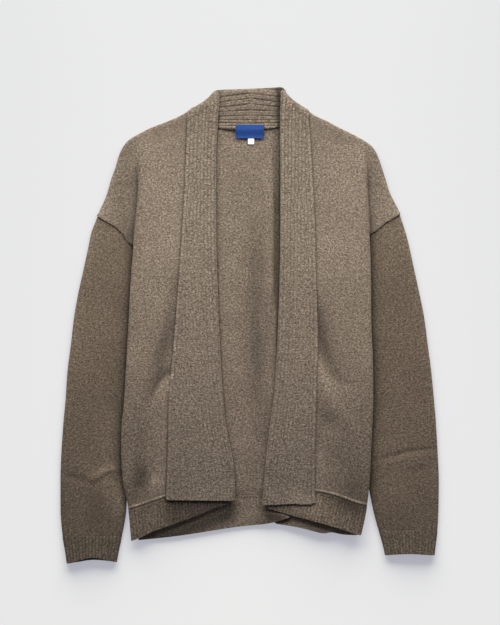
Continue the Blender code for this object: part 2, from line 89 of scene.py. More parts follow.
def read(columns, name, at, key="y"):
    """A column at any places: a cubic through the rows, held at both ends."""
    order = np.argsort(columns[key])
    places, values = columns[key][order], columns[name][order]
    slopes = gentle_slopes(places, values)
    at = np.clip(at, places[0], places[-1])
    i = np.clip(np.searchsorted(places, at) - 1, 0, len(places) - 2)
    step = places[i + 1] - places[i]
    t = (at - places[i]) / step
    from_start = values[i] * (1 + 2 * t) + slopes[i] * step * t
    from_end = values[i + 1] * (3 - 2 * t) - slopes[i + 1] * step * (1 - t)
    return from_start * (1 - t) ** 2 + from_end * t**2


def ease(t):
    """Rises smoothly from 0 to 1."""
    t = np.clip(t, 0, 1)
    return t * t * (3 - 2 * t)


def ramp(place, start, span):
    """Rises smoothly from 0 at a start to 1 a span further on, or further back if it is negative."""
    return ease((place - start * MM) / (span * MM))


def bell(distance, width):
    """1 in the middle, falling smoothly on both sides: e to the minus square of distance over width."""
    return np.exp(-((distance / width) ** 2))


print("wall of cloth:", CLOTH / MM, "mm")

# %% The body's outline: side folds, shoulders and armholes
# Distance from the centre line to each side fold
FOLDS = table("""
       y right  left
     300 177.6 185.6
     223 177.4 187.4
     188 179.4 189.2
     154 182.8 190.8
     112 186.4 192.6
      70 189.8 193.6
       4   193 194.2
     -60 196.8 196.8
    -121 200.2 197.4
    -170 204.6 195.4
    -204   205 193.6
    -246 202.6 191.8
    -290 194.3 187.4
    -346 188.9 175.5
""")
# The same for the shoulder's outer edge
SHOULDERS = table("""
        y right  left
      346  92.2  90.2
      335 108.2 102.4
      324 132.2 125.5
    313.5 159.5   145
      306   174 160.5
      299   187   174
      292 196.5   186
      284 202.6 196.6
      271   209 204.6
      252 214.6 211.4
      232 221.8 217.8
      212 227.4   224
      197   233   231
      182 240.2 238.6
      172 243.4 240.2
""")
# Points of the armhole seams, from the shoulder's end inwards and down
ARMHOLES = table("""
    right_w right_y left_w left_y
      243.4   174.2  240.2    177
        229     166    228  170.4
      213.8   156.8    213    161
        201   144.4  203.8  152.8
      190.5   127.6    194  144.6
      185.5     114    189    131
        180      96    185    115
""")
FOOT_ROW = 4  # the armhole's foot, where the seam goes under the side fold
ARMHOLE_TOP = {side: ARMHOLES[f"{side}_y"][0] for side in SIGN}
ARMHOLE_FOOT = {side: ARMHOLES[f"{side}_y"][FOOT_ROW] for side in SIGN}


def armhole_w(side, y):
    """Distance of the armhole seam from the centre line at heights y."""
    return read(ARMHOLES, f"{side}_w", y, key=f"{side}_y")


def armhole_y(side, w):
    """Height of the armhole seam at distances w."""
    return read(ARMHOLES, f"{side}_y", w, key=f"{side}_w")


def shoulder_end(side, y):
    """The outer edge of the body: the shoulder line, and below its end the armhole seam."""
    return np.where(y < ARMHOLE_TOP[side], armhole_w(side, y), read(SHOULDERS, side, y))


print("waist between the folds:", round(float(read(FOLDS, "right", 0) + read(FOLDS, "left", 0)) / MM), "mm")

# %% [markdown]
# ## Smooth sections and grids
# A cross-section of cloth is a short list of control points (w, z). A uniform cubic B-spline through
# their neighbourhood gives a soft line with no corners, as cloth has. Because the spline is a weighted
# sum, the weights are worked out once and multiply whole arrays of sections. Sections stacked down the
# body make a grid of points, and the grid becomes a mesh with its own flat map in metres of cloth. A
# cloth simulation could drape the pieces too, but it wouldn't keep to the garment's own outline.

# %% Splines as weights
def spline_weights(controls, count, ring=False):
    """Weights (count, controls) of a uniform cubic B-spline that reaches both end points."""
    spans = controls if ring else controls - 1
    at = np.linspace(0, spans, count, endpoint=not ring)
    i = np.minimum(at.astype(int), spans - 1)
    t = at - i
    parts = [(1 - t) ** 3, 3 * t**3 - 6 * t**2 + 4, -3 * t**3 + 3 * t**2 + 3 * t + 1, t**3]
    weights = np.zeros((count, controls + 2))
    for k, part in enumerate(parts):
        column = (i + k - 1) % controls + 1 if ring else i + k
        weights[np.arange(count), column] += part / 6
    # A point past an end is the mirror of its neighbour: twice the end less the next one in.
    weights[:, 1:3] += weights[:, :1] * [2, -1]
    weights[:, -3:-1] += weights[:, -1:] * [-1, 2]
    return weights[:, 1:-1]


def stacked(*coordinates):
    """Points from two or three arrays of coordinates, which are spread against each other."""
    return np.stack(np.broadcast_arrays(*coordinates), axis=-1)


def coordinates(points):
    """Views of a grid's three coordinates: what is added to one of them is added to the grid."""
    return np.moveaxis(points, -1, 0)


def lengths_across(points, ring=False):
    """Distance along each row from its first point, in metres of cloth."""
    closed = np.concatenate([points, points[:, :1]], axis=1) if ring else points
    steps = np.linalg.norm(np.diff(closed, axis=1), axis=2)
    return np.concatenate([np.zeros((len(points), 1)), np.cumsum(steps, axis=1)], axis=1)


def even_out(points, count, ring=False):
    """Spreads each row's points evenly along the row's own length."""
    run = lengths_across(points, ring)
    if ring:
        points = np.concatenate([points, points[:, :1]], axis=1)
    lane = 2 * np.arange(len(points))[:, None]
    known = (lane + run / run[:, -1:]).ravel()
    wanted = (lane + np.linspace(0, 1, count, endpoint=not ring)).ravel()
    return stacked(*[np.interp(wanted, known, points[..., k].ravel()).reshape(-1, count) for k in range(3)])


def flat_map(points, ring=False, anchor=0.5):
    """The cloth's own map: metres across, counted from a share of the row, and metres down."""
    across = lengths_across(points, ring)
    middle = points[:, points.shape[1] // 2]
    down = np.concatenate([[0], np.cumsum(np.linalg.norm(np.diff(middle, axis=0), axis=1))])
    return stacked(across - anchor * across[:, -1:], -down[:, None])


def face_directions(points):
    """Unit normals of a grid: the cross product of its two directions."""
    normal = np.cross(np.gradient(points, axis=1), np.gradient(points, axis=0))
    return normal / (np.linalg.norm(normal, axis=2, keepdims=True) + 1e-12)


print("weights of 5 controls, half way:", spline_weights(5, 3)[1].round(3))


# %% A grid of points becomes a piece of cloth
def edge_rows(grid, axis):
    """Adds a row just inside the first and the last one, so that an edge stays a crisp edge."""
    grid = np.moveaxis(grid, axis, 0)
    near_first = 0.9 * grid[:1] + 0.1 * grid[1:2]
    near_last = 0.9 * grid[-1:] + 0.1 * grid[-2:-1]
    grown = np.concatenate([grid[:1], near_first, grid[1:-1], near_last, grid[-1:]])
    return np.moveaxis(grown, 0, axis)


def cloth_piece(name, points, groove, ring=False, anchor=0.5, thickness=CLOTH):
    """A mesh through the grid, a wall of cloth by Solidify. A ring's face looks away from its middle,
    any other one's up."""
    uv = flat_map(points, ring, anchor)
    for axis in (0,) if ring else (0, 1):
        points, uv, groove = (edge_rows(grid, axis) for grid in (points, uv, groove))
    rows, columns = points.shape[:2]
    index = np.arange(rows * columns).reshape(rows, columns)
    if ring:
        index = np.column_stack([index, index[:, 0]])

    def around(grid):
        return np.stack([grid[:-1, :-1], grid[:-1, 1:], grid[1:, 1:], grid[1:, :-1]], axis=2)

    quads, corners = around(index), around(uv)
    a, b, d = (points.reshape(-1, 3)[quads[..., k]] for k in (0, 1, 3))
    away = (a - points.mean(axis=1)[:-1, None]) * [1, 0, 1]
    if np.sum(np.cross(b - a, d - a) * (away if ring else [0, 0, 1])) < 0:
        quads, corners = quads[..., ::-1], corners[:, :, ::-1]
    mesh = bpy.data.meshes.new(name)
    mesh.from_pydata(points.reshape(-1, 3).tolist(), [], quads.reshape(-1, 4).tolist())
    mesh.uv_layers.new(name="Cloth").data.foreach_set("uv", corners.astype(np.float32).ravel())
    # The groove value, kept on each point: painted shade and painted highlights, and a few stitches.
    mask = mesh.attributes.new("groove", "FLOAT", "POINT")
    mask.data.foreach_set("value", groove.astype(np.float32).ravel())
    mesh.shade_smooth()
    piece = bpy.data.objects.new(name, mesh)
    bpy.context.scene.collection.objects.link(piece)
    solidify = piece.modifiers.new("Cloth thickness", "SOLIDIFY")
    solidify.thickness = thickness
    solidify.offset = 0
    print(name, rows, "x", columns, "points, about", quads.size // 1000, "thousand triangles")
    return piece


def finished(name, points, groove, material, nodes, slot, flat, held, rests_on, area=None, **form):
    """A piece of cloth with its material, under the root body, in place of its imported nodes, which are
    hidden.
    """
    piece = cloth_piece(name, points, groove, **form)
    piece.data.materials.append(material)
    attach(piece, "root")
    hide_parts(*nodes)


# %% Creases, and areas of painted light and shade
def crease(x, y, path, width, height, skew=0.0):
    """A soft ridge along a path of points in millimetres, or a trough where the height is negative.

    The height falls off as a bell with the distance from the path, over the width, and fades at both
    ends of the path. A skew makes the side on the path's left wider, and the other one steeper.
    """
    knots = np.array(path, float) * MM
    lengths = np.linalg.norm(np.diff(knots, axis=0), axis=1)
    starts = np.concatenate([[0], np.cumsum(lengths)[:-1]])
    nearest = np.full(np.shape(x), 1e9)
    aside = np.zeros(np.shape(x))
    share = np.zeros(np.shape(x))
    for (px, py), (dx, dy), length, start in zip(knots, np.diff(knots, axis=0), lengths, starts):
        t = np.clip(((x - px) * dx + (y - py) * dy) / length**2, 0, 1)
        gap_x, gap_y = x - px - t * dx, y - py - t * dy
        distance = np.hypot(gap_x, gap_y)
        closer = distance < nearest
        nearest = np.where(closer, distance, nearest)
        aside = np.where(closer, np.sign(dx * gap_y - dy * gap_x), aside)
        share = np.where(closer, (start + t * length) / lengths.sum(), share)
    fade = np.sin(np.pi * np.clip(0.08 + 0.84 * share, 0, 1)) ** 0.7
    return height * MM * bell(nearest, width * MM * (1 + skew * aside)) * fade


def creases(x, y, listed):
    """The sum of all creases in a list."""
    return sum(crease(x, y, *one) for one in listed)


def ripples(x, y, step, seed):
    """Small uneven swells of cloth: a few sine waves in directions picked from a seed."""
    generator = np.random.default_rng(seed)
    total = np.zeros(np.shape(x))
    for _ in range(7):
        angle = generator.uniform(0, np.pi)
        wave = step * generator.uniform(0.7, 1.6)
        turn = generator.uniform(0, 2 * np.pi)
        total += np.sin(2 * np.pi * (x * np.cos(angle) + y * np.sin(angle)) / wave + turn)
    return total / 7


# Painted shade down the height of the cloth, in thousandths; below 0 it is painted light
HEIGHT_PAINTED_SHADE = table("""
       y tone
     360  300
     290  210
     240   70
     200    0
     160  -90
      60  -70
     -50  -90
    -110  -60
    -170   50
    -260   90
    -340   60
""")


def painted_shade_by_height(y):
    """How much painted shade the cloth gets at heights y, read from the table."""
    return read(HEIGHT_PAINTED_SHADE, "tone", y)


def painted_patches(w, y, painted_ovals):
    """Sum of soft ovals of painted shade, painted light where negative: middle (w, y) and half sizes in
    millimetres, and how dark each one is.
    """
    return sum(
        dark * bell(w / MM - middle_w, wide) * bell(y / MM - middle_y, high)
        for middle_w, middle_y, wide, high, dark in painted_ovals
    )


print("nap at the neck and at the waist:", painted_shade_by_height(300 * MM).round(2), painted_shade_by_height(0).round(2))

# %% [markdown]
# ## Ribs
# A rib is a row of raised stitches beside a row of sunk ones. Across the ribs the height is a rounded
# ridge with a narrow groove between: the size of a cosine, raised to a power below one. Real geometry
# shows ribs better than bump, because their grooves shade themselves. The groove's depth is also kept
# as a value on each point, and the wool is painted a little darker down there: painted shade, where
# less light gets in. The same groove value also carries the other painted light and shade (darker
# creases, contact shadows, highlights on rims, broad light and dark patches), and a few dark stitches.

# %% Rib profile
def rib(phase, power=0.6):
    """Height from 0 in the groove to 1 on the ridge, once for each whole step of the phase."""
    return np.abs(np.cos(np.pi * phase)) ** power


print("rib height at ridge and groove:", rib(0.0), round(rib(0.5), 3))

# %% [markdown]
# ## Wool
# Felted wool looks matt and slightly cloudy. Its yarn is spun from dark, middle and light fibres, so
# up close the colour changes every few millimetres. The heather is made by two layers of noise that
# pick between three tones, and the fibres' small relief comes from the same noise through a Bump. Hair
# strands would show single fibres, but not at this distance. A Principled shader with sheen gives the
# pale rim that a nap shows at its edges. The effects that all the wools share are node groups, and each
# wool only says its own tones.

# %% Node helpers
TURN = 2 * np.pi


def fill(tree, socket, value):
    """Gives an input a socket to read or a plain value."""
    if isinstance(value, bpy.types.NodeSocket):
        tree.links.new(value, socket)
    else:
        socket.default_value = value


def node(tree, kind, settings=(), **inputs):
    """A new node. Its inputs are named in small letters and hold sockets or plain values."""
    made = tree.nodes.new(f"ShaderNode{kind}")
    for label, value in dict(settings).items():
        setattr(made, label, value)
    for label, value in inputs.items():
        fill(tree, made.inputs[label.replace("_", " ").title()], value)
    return made


def math_node(tree, operation, *values):
    made = node(tree, "Math", {"operation": operation})
    for socket, value in zip(made.inputs, values):
        fill(tree, socket, value)
    return made.outputs[0]


def noise_node(tree, vector, scale, detail=2.0, roughness=0.5, distortion=0.0):
    inputs = {"scale": scale, "detail": detail, "roughness": roughness, "distortion": distortion}
    return node(tree, "TexNoise", vector=vector, **inputs).outputs["Fac"]


def mix_colours(tree, share, first, second, blend="MIX"):
    made = node(tree, "Mix", {"data_type": "RGBA", "blend_type": blend})
    for place, value in ((0, share), (6, first), (7, second)):
        fill(tree, made.inputs[place], value)
    return made.outputs[2]


def new_group(name, inputs, outputs):
    """A shader node group with named inputs and outputs, and its two end nodes."""
    tree = bpy.data.node_groups.new(name, "ShaderNodeTree")
    for way, sockets in (("INPUT", inputs), ("OUTPUT", outputs)):
        for label, kind in sockets.items():
            tree.interface.new_socket(label, in_out=way, socket_type=f"NodeSocket{kind}")
    return tree, tree.nodes.new("NodeGroupInput").outputs, tree.nodes.new("NodeGroupOutput").inputs


# %% Group: heathered yarn
FIBRE_PATCH = 350.0  # patches of one tone across a metre of cloth
RED_AND_GREEN = ((0.72, 1.08, 0.97, 1), (1.28, 0.92, 1.03, 1))  # single fibres lean one way or the other


def heather_group():
    """Picks between dark, middle and light wool by noise, with slow clouds over the whole cloth.
    The groove value paints shade on it, and a painted highlight where the value is below 0.
    """
    tones = {"Dark": "Color", "Middle": "Color", "Light": "Color"}
    tree, given, result = new_group(
        "Heathered yarn",
        {"Vector": "Vector", **tones, "Groove": "Float"},
        {"Color": "Color", "Fibre": "Float"},
    )
    drawn = node(tree, "Mapping", vector=given["Vector"], scale=(0.95, 1.25, 1.0)).outputs[0]
    coarse = noise_node(tree, drawn, FIBRE_PATCH, 3.0, 0.7, 0.7)
    fine = noise_node(tree, drawn, 2.3 * FIBRE_PATCH, 2.0, 0.6, 1.2)
    lean = noise_node(tree, drawn, 1.6 * FIBRE_PATCH, 1.0)
    clouds = noise_node(tree, given["Vector"], 14.0, 3.0, 0.6)
    grain = math_node(tree, "MULTIPLY_ADD", fine, 0.3, math_node(tree, "MULTIPLY", coarse, 0.7))
    colour = given["Middle"]
    for label, full in (("Light", 0.62), ("Dark", 0.38)):
        share = node(tree, "MapRange", value=grain, from_min=0.5, from_max=full).outputs[0]
        colour = mix_colours(tree, share, colour, given[label])
    colour = mix_colours(tree, 1.0, colour, mix_colours(tree, lean, *RED_AND_GREEN), "MULTIPLY")
    # Painted shade: the colour is multiplied by one less 0.6 times the groove value, at least 0.25, and it
    # is lightened as a painted highlight where the value is below 0.
    depth = math_node(tree, "MAXIMUM", math_node(tree, "MULTIPLY_ADD", given["Groove"], -0.6, 1.0), 0.25)
    shade = math_node(tree, "MULTIPLY", math_node(tree, "MULTIPLY_ADD", clouds, 0.30, 0.85), depth)
    fill(tree, result["Color"], mix_colours(tree, 1.0, colour, shade, "MULTIPLY"))
    fill(tree, result["Fibre"], grain)
    return tree


HEATHER = heather_group()
print(HEATHER.name, "has", len(HEATHER.nodes), "nodes")

# %% Group: knitted loops
STITCH_WIDE, STITCH_HIGH = 2.4 * MM, 1.9 * MM


def loops_group():
    """Columns of V-shaped stitches. Their height is a cosine down the column whose phase slants
    towards both sides of it, times a rounded ridge across."""
    tree, given, result = new_group(
        "Knitted loops", {"Vector": "Vector", "Fibre": "Float"}, {"Height": "Float"}
    )
    split = node(tree, "SeparateXYZ", vector=given["Vector"]).outputs
    column = math_node(tree, "MULTIPLY", split["X"], 1 / STITCH_WIDE)
    row = math_node(tree, "MULTIPLY", split["Y"], 1 / STITCH_HIGH)
    from_middle = math_node(tree, "SUBTRACT", math_node(tree, "FRACT", column), 0.5)
    from_middle = math_node(tree, "ABSOLUTE", from_middle)
    slanted_row = math_node(tree, "MULTIPLY_ADD", from_middle, 1.2, row)
    wave = math_node(tree, "COSINE", math_node(tree, "MULTIPLY", slanted_row, TURN))
    ridge = math_node(tree, "SINE", math_node(tree, "MULTIPLY", from_middle, TURN))
    stitch = math_node(tree, "MULTIPLY", math_node(tree, "MULTIPLY_ADD", wave, 0.5, 0.5), ridge)
    fill(tree, result["Height"], math_node(tree, "MULTIPLY_ADD", stitch, 0.25, given["Fibre"]))
    return tree


LOOPS = loops_group()
print(LOOPS.name, "has", len(LOOPS.nodes), "nodes")

# %% The wools
TAUPE = {  # linear colours of the three kinds of fibre
    "dark": (0.049, 0.034, 0.023),
    "middle": (0.124, 0.095, 0.069),
    "light": (0.243, 0.202, 0.160),
}


def shader_of(name, roughness, sheen):
    """A new material with its node tree, Principled shader, cloth map and groove value: painted light and
    shade, and a few stitches.
    """
    material = bpy.data.materials.new(name)
    material.use_nodes = True
    tree = material.node_tree
    inputs = tree.nodes["Principled BSDF"].inputs
    inputs["Roughness"].default_value = roughness
    inputs["Specular IOR Level"].default_value = 0.15
    inputs["Sheen Weight"].default_value = sheen
    inputs["Sheen Roughness"].default_value = 0.45
    inputs["Sheen Tint"].default_value = (0.62, 0.56, 0.48, 1)
    place = node(tree, "UVMap", {"uv_map": "Cloth"}).outputs[0]
    groove = node(tree, "Attribute", {"attribute_name": "groove"}).outputs["Fac"]
    return material, tree, inputs, place, groove


def wool(name, tint=(1.0, 1.0, 1.0), contrast=1.0, offset=(0.0, 0.0, 0.0)):
    """Felted wool: heathered colour, and a relief of fibres and loops."""
    material, tree, inputs, place, groove = shader_of(name, 0.95, 0.28)
    place = node(tree, "Mapping", vector=place, location=offset).outputs[0]
    tones = {
        label: (*(t * (m + (c - m) * contrast) for t, c, m in zip(tint, tone, TAUPE["middle"])), 1)
        for label, tone in TAUPE.items()
    }
    heather = node(tree, "Group", {"node_tree": HEATHER}, vector=place, groove=groove, **tones)
    loops = node(tree, "Group", {"node_tree": LOOPS}, vector=place, fibre=heather.outputs["Fibre"])
    bump = node(tree, "Bump", strength=0.35, distance=1.6 * MM, height=loops.outputs["Height"])
    fill(tree, inputs["Base Color"], heather.outputs["Color"])
    fill(tree, inputs["Normal"], bump.outputs[0])
    return material


JERSEY = wool("jersey wool")
SLEEVE_WOOL = wool("sleeve wool", (0.74, 0.715, 0.68), 0.95, (0.7, 0.3, 0))
BAND_WOOL = wool("band wool", (0.95, 0.967, 0.975), 1.12, (0.2, 0.9, 0))
TRIM_WOOL = wool("trim wool", (0.81, 0.80, 0.78), 1.15, (0.5, 0.6, 0))
STAND_WOOL = wool("collar stand wool", (0.76, 0.76, 0.76), 1.05, (0.1, 0.4, 0))
print("wools:", [material.name for material in (JERSEY, SLEEVE_WOOL, BAND_WOOL, TRIM_WOOL, STAND_WOOL)])

# %% [markdown]
# ## The two fronts
# Each front starts under the collar band, lies on the back, rises towards its side fold, rolls round
# it and turns under to the seam with the back. Above the armhole it steps down from the fold to the
# dropped shoulder. So a section has seven control points over the chest and seven for its outer end,
# and the outer seven are blended from the shoulder's kind to the rolled kind at the armhole's foot. One
# grid for both kinds keeps the cloth whole where they meet, which two joined meshes wouldn't.

# %% Heights and lower edges of the fronts
FLOOR_LAYER = HALF
FRONT_LAYER = FLOOR_LAYER + CLOTH + GAP
BODY_TOP = 340 * MM  # where fronts and back begin at the neck
TURNED_UNDER = 26 * MM  # how far a front goes under the body to its seam with the back
WELT = 2.2 * MM  # from the middle of the raised welt down to the seam
UNDER_BAND = 9.2 * MM  # how far a front stops short of the band's inner edge
# Middle of the cloth at a front's crest and beside the armhole
CRESTS = table("""
       y crest low
     343     7 6.9
     290   8.8 7.8
     255    12   7
     200    15 6.4
     126  16.6 6.4
    -240  16.6 6.4
    -300  14.6   6
    -346    13   4
""")
# Inner and outer edges of the collar band
BANDS = table("""
        y right_in right_out left_in left_out
      376       50        55    50.2     54.5
      367       49      62.3      50     61.6
      354     48.4        77    49.8     76.4
    349.5     48.8      85.4    49.6       83
      346     49.2      91.6    49.4     88.6
      342     49.7        97    49.2       94
      336     50.3      99.8    49.1       95
      325     51.2      99.6      49     94.4
      300     52.5     100.2    48.8     96.3
      260     53.8     101.8    49.4     99.2
      218     53.8     103.6    49.4      101
      158     53.8       107    49.4    104.2
       92     52.4     111.4    48.6    105.4
       38     50.6     115.4    47.2      107
      -36     47.8     121.4    44.2    108.4
      -78     45.2     125.4    41.8    107.2
     -121       42       129    38.2      106
     -154     39.2     129.6    33.6    105.2
     -194     31.4     130.2    28.6    104.2
     -236     24.5     131.6    24.4    103.8
     -286     22.6     133.4    19.8    103.8
""")
# Seams and lower edges of the front hems
FRONT_HEMS = table("""
      w right_seam right_edge left_seam left_edge
     20       -233     -281.6      -241    -291.6
     27       -236     -283.4      -243    -293.4
     55     -246.5     -292.6      -251    -301.6
     86     -257.5     -305.6    -259.5    -309.4
    104       -263       -312    -264.3    -314.2
    132     -272.3     -321.8      -270      -322
    153     -279.5     -328.8    -276.5    -328.2
    173     -286.4     -338.4    -283.6      -335
    194     -292.8       -347    -288.6    -336.4
""")


def hem_line(side, name, w):
    """Height of the front hem's edge, or of its seam, which lies below the welt."""
    return read(FRONT_HEMS, f"{side}_{name}", w, key="w") - (WELT if name == "seam" else 0)


def rolled_share(side, y):
    """0 beside the armhole, 1 where the front is rolled round the side fold."""
    return ease((ARMHOLE_FOOT[side] - y) / TURNED_UNDER)


def crest_place(side, y):
    """Where a front is highest: just inside its side fold, or inside the shoulder's edge."""
    return np.minimum(read(FOLDS, side, y) - 10 * MM, shoulder_end(side, y) - 14 * MM)


def front_height(side, w, y):
    """Middle of the front's cloth: flat beside the centre, then rising as a square to the crest."""
    rise = read(CRESTS, "crest", y) - FRONT_LAYER
    across = np.clip((w - 40 * MM) / (crest_place(side, y) - 40 * MM), 0, 1)
    return FRONT_LAYER + rise * across**2


print("height of the crest at the waist:", round(float(read(CRESTS, "crest", 0)) / MM, 1), "mm")


# %% Sections of a front
def pairs(*points):
    """Control points as one array (rows, points, 2) from pairs of columns."""
    return np.stack([stacked(w, z) for w, z in points], axis=1)


def front_controls(side, y, inner_shift):
    """Control points (w, z) of the sections at heights y, from the inner edge to the seam below."""
    inner = read(BANDS, f"{side}_in", y + inner_shift) + UNDER_BAND
    top, foot = ARMHOLE_TOP[side], ARMHOLE_FOOT[side]
    fold = read(FOLDS, side, y) - HALF
    crest, low = read(CRESTS, "crest", y), read(CRESTS, "low", y)
    across = np.linspace(0, 1, 7)
    chest_w = inner[:, None] + (crest_place(side, y) - inner)[:, None] * across
    chest = stacked(chest_w, front_height(side, chest_w, y[:, None]))

    on_seam = ease((top + 4 * MM - y) / (4 * MM))
    lip = 2 * MM * on_seam * ease((y - foot) / (8 * MM))
    reach = shoulder_end(side, y) - HALF * (1 - on_seam) + lip
    drop = (1 - on_seam) * (low - CLOTH - GAP) + on_seam * GAP
    step = np.minimum(fold, reach - 6 * MM)
    shoulder = pairs(
        (step - 2 * MM, crest),
        (step + 0.6 * MM, 0.5 * (crest + low)),
        (step + 0.12 * (reach - step), low),
        (step + 0.6 * (reach - step), low + 0.4 * MM),
        (reach - 1.5 * MM, low),
        (reach - 0.2 * MM, low - 0.5 * drop),
        (reach, low - drop),
    )
    rolled = rolled_share(side, y)
    turned = TURNED_UNDER * rolled
    under = np.minimum(8.4 * MM, crest - 3.5 * MM)
    depth = under - FLOOR_LAYER
    side_roll = pairs(
        (fold - 2.2 * MM, crest),
        (fold + 0.6 * MM, (2 * crest + under) / 3),
        (fold - 0.2 * MM, under * rolled + low * (1 - rolled)),
        (fold - 0.3 * turned, under - 0.5 * MM * (1 - rolled)),
        (fold - 0.6 * turned, FLOOR_LAYER + 0.65 * depth),
        (fold - 0.85 * turned, FLOOR_LAYER + 0.1 * depth + 1.5 * MM * (1 - rolled)),
        (fold - turned, FLOOR_LAYER),
    )
    share = ease((foot + 2 * MM - y) / (6 * MM))[:, None, None]
    return np.concatenate([chest, shoulder * (1 - share) + side_roll * share], axis=1)


def slanted(side, y, seam_share, edge_share, count):
    """A front's rows of points, as parallel to the hem's seam and lower edge as the shares say."""
    weights = spline_weights(14, count)

    def shift(w):
        out_to = np.maximum.accumulate(w, axis=1)
        seam, edge = hem_line(side, "seam", out_to), hem_line(side, "edge", out_to)
        return seam_share[:, None] * (seam - seam[:, -1:]) + edge_share[:, None] * (edge - edge[:, -1:])

    first = weights @ front_controls(side, y, np.zeros(len(y)))
    section = weights @ front_controls(side, y, shift(first[..., 0])[:, 0])
    return stacked(section[..., 0], y[:, None] + shift(section[..., 0]), section[..., 1])


def side_seam_foot(side):
    """Height of the hem rib's seam at the side fold."""
    return float(hem_line(side, "seam", read(FOLDS, side, -290 * MM)))


print("front at the side, from neck to hem seam:", round((BODY_TOP - side_seam_foot("right")) / MM), "mm")

# %% Folds and dimples of the fronts
# Path in millimetres (w, y), width, height, and a skew if there is one
FRONT_CREASES = {
    "right": [
        ([(118, 80), (122, 40), (127, 10)], 9, -1.6),
        ([(124, 16), (130, -20), (139, -50), (144, -74)], 13, -3.4),
        ([(118, -76), (132, -80), (146, -94), (158, -120)], 8, -2.8, 0.55),
        ([(118, -96), (132, -108), (142, -130)], 12, 1.3),
        ([(172, -120), (178, -170), (176, -215)], 24, -1),
        ([(146, -244), (149, -254), (152, -264)], 12, 1.6),
        ([(176, -226), (172, -246), (178, -268)], 14, -2.4),
    ],
    "left": [
        ([(110, 30), (114, -10), (120, -44), (130, -74)], 11, -3.6),
        ([(108, -66), (116, -86), (122, -108), (130, -130)], 9, 3.4),
        ([(112, -134), (124, -152), (142, -164)], 13, -1.7),
        ([(128, -78), (146, -92), (160, -96)], 9, -1.4, 0.3),
        ([(120, -190), (140, -215), (160, -226)], 16, -0.8),
    ],
}
# Patches of painted shade, painted light where negative: middle (w, y), half sizes, and how dark
FRONT_PAINTED_PATCHES = {
    "right": [
        (206, 180, 16, 90, 0.3), (191, 142, 9, 14, 0.35), (174, 205, 14, 60, 0.12),
        (150, -84, 13, 46, 0.16), (144, -172, 18, 36, -0.22), (128, 170, 18, 50, -0.13),
        (128, -10, 14, 120, -0.1), (172, -20, 24, 40, -0.1), (150, -257, 12, 16, -0.55),
        (178, -216, 12, 20, 0.2), (176, -246, 18, 20, 0.26), (188, -264, 12, 16, 0.2),
        (200, -195, 7, 50, 0.2), (197, 285, 15, 14, 0.22),
    ],
    "left": [
        (206, 262, 14, 40, 0.15), (183, 10, 20, 40, -0.12), (172, -240, 26, 62, 0.28),
        (165, -268, 24, 20, 0.3), (132, -14, 11, 40, 0.14), (182, -150, 12, 48, 0.2),
        (154, -175, 10, 22, 0.2), (112, -235, 9, 38, -0.28),
    ],
}  # fmt: skip
FRONT_SWELLS = {"right": 3, "left": 8}  # seeds


def front_relief(side, w, y):
    """Soft troughs and ridges on a front, nothing at its hidden edges."""
    relief = creases(w, y, FRONT_CREASES[side]) + 0.5 * MM * ripples(w, y, 0.11, FRONT_SWELLS[side])
    return relief * ramp(w, 60, 40) * ramp(y, 330, -60)


def beyond_fold(side, w, y):
    """Shade of what lies lower outside the side fold: deepest at the fold, fading outwards and up."""
    away = w - read(FOLDS, side, y)
    outwards = np.maximum(away, 0) / MM
    near = np.exp(-outwards / 5) + 0.35 * np.exp(-outwards / 22)
    return near * ramp(away, -1.5, 3) * ramp(y, 282, -60)


def band_contact_shadow(side, w, y):
    """Painted shadow where the band's outer edge meets the front; it fades where the front bulges."""
    away = (w - read(BANDS, f"{side}_out", y)) / (1.8 * MM)
    middle, long = (-95, 18) if side == "right" else (-74, 28)
    strength = 1.0 - 0.9 * bell(y / MM - middle, long)
    if side == "left":
        strength = 0.75 * strength * (1 - 0.75 * ramp(y, 60, -80))
    return np.exp(-np.abs(away)) * strength * ramp(y, 350, -40)


def front_grid(side):
    """The whole front: sections every 3 mm down the body, and finer ones through the welt."""
    foot = side_seam_foot(side)
    end = foot + 7 * MM
    welt_rows = np.linspace(end, foot, 13)[1:]
    y = np.concatenate([np.linspace(BODY_TOP, 100 * MM, 96), np.linspace(97 * MM, end, 112), welt_rows])
    tilt_top = -110 * MM
    tilt = ease((tilt_top - y) / (tilt_top - foot))
    points = even_out(slanted(side, y, tilt, np.zeros(len(y)), 150), 96)
    w, height, z = coordinates(points)
    upper = ramp(z, 3.8, 0.8)
    outside = ease((read(FOLDS, side, height) + 12 * MM - w) / (12 * MM))
    relief = front_relief(side, w, height) * upper * outside
    welt = bell(y - foot - WELT, 1.5 * MM)[:, None]
    z += relief + 1.4 * MM * welt * upper
    # Painted shade in the creases' troughs and a little painted light on their ridges, with the painted
    # shade down the height and the painted patches; then painted shade outside the side fold, a painted
    # shadow along the band's outer edge, and a faint painted highlight on the welt.
    groove = np.clip(-relief / (4 * MM), -0.22, 1) + painted_shade_by_height(height) + painted_patches(w, height, FRONT_PAINTED_PATCHES[side])
    groove = groove + (beyond_fold(side, w, height) + band_contact_shadow(side, w, height)) * upper
    w *= SIGN[side]
    return points, groove * (1 - welt) - 0.05 * welt * upper


for side in SIGN:
    finished(
        f"front_cloth_{side}", *front_grid(side), JERSEY, [f"front_{side}"], "jersey",
        flat=(0.215, 0.635), held="laid", rests_on=["back_cloth"], area=0.116,
    )  # fmt: skip

# %% [markdown]
# ## The back
# The back lies flat under everything. Between the two bands it shows a soft trough down the middle and,
# beside the wearer's left band, a rounded ridge that leans over a narrow dark valley. The ridge is a
# bell across, and it is pushed sideways by its own height, which undercuts it. A plain height map
# couldn't lean.

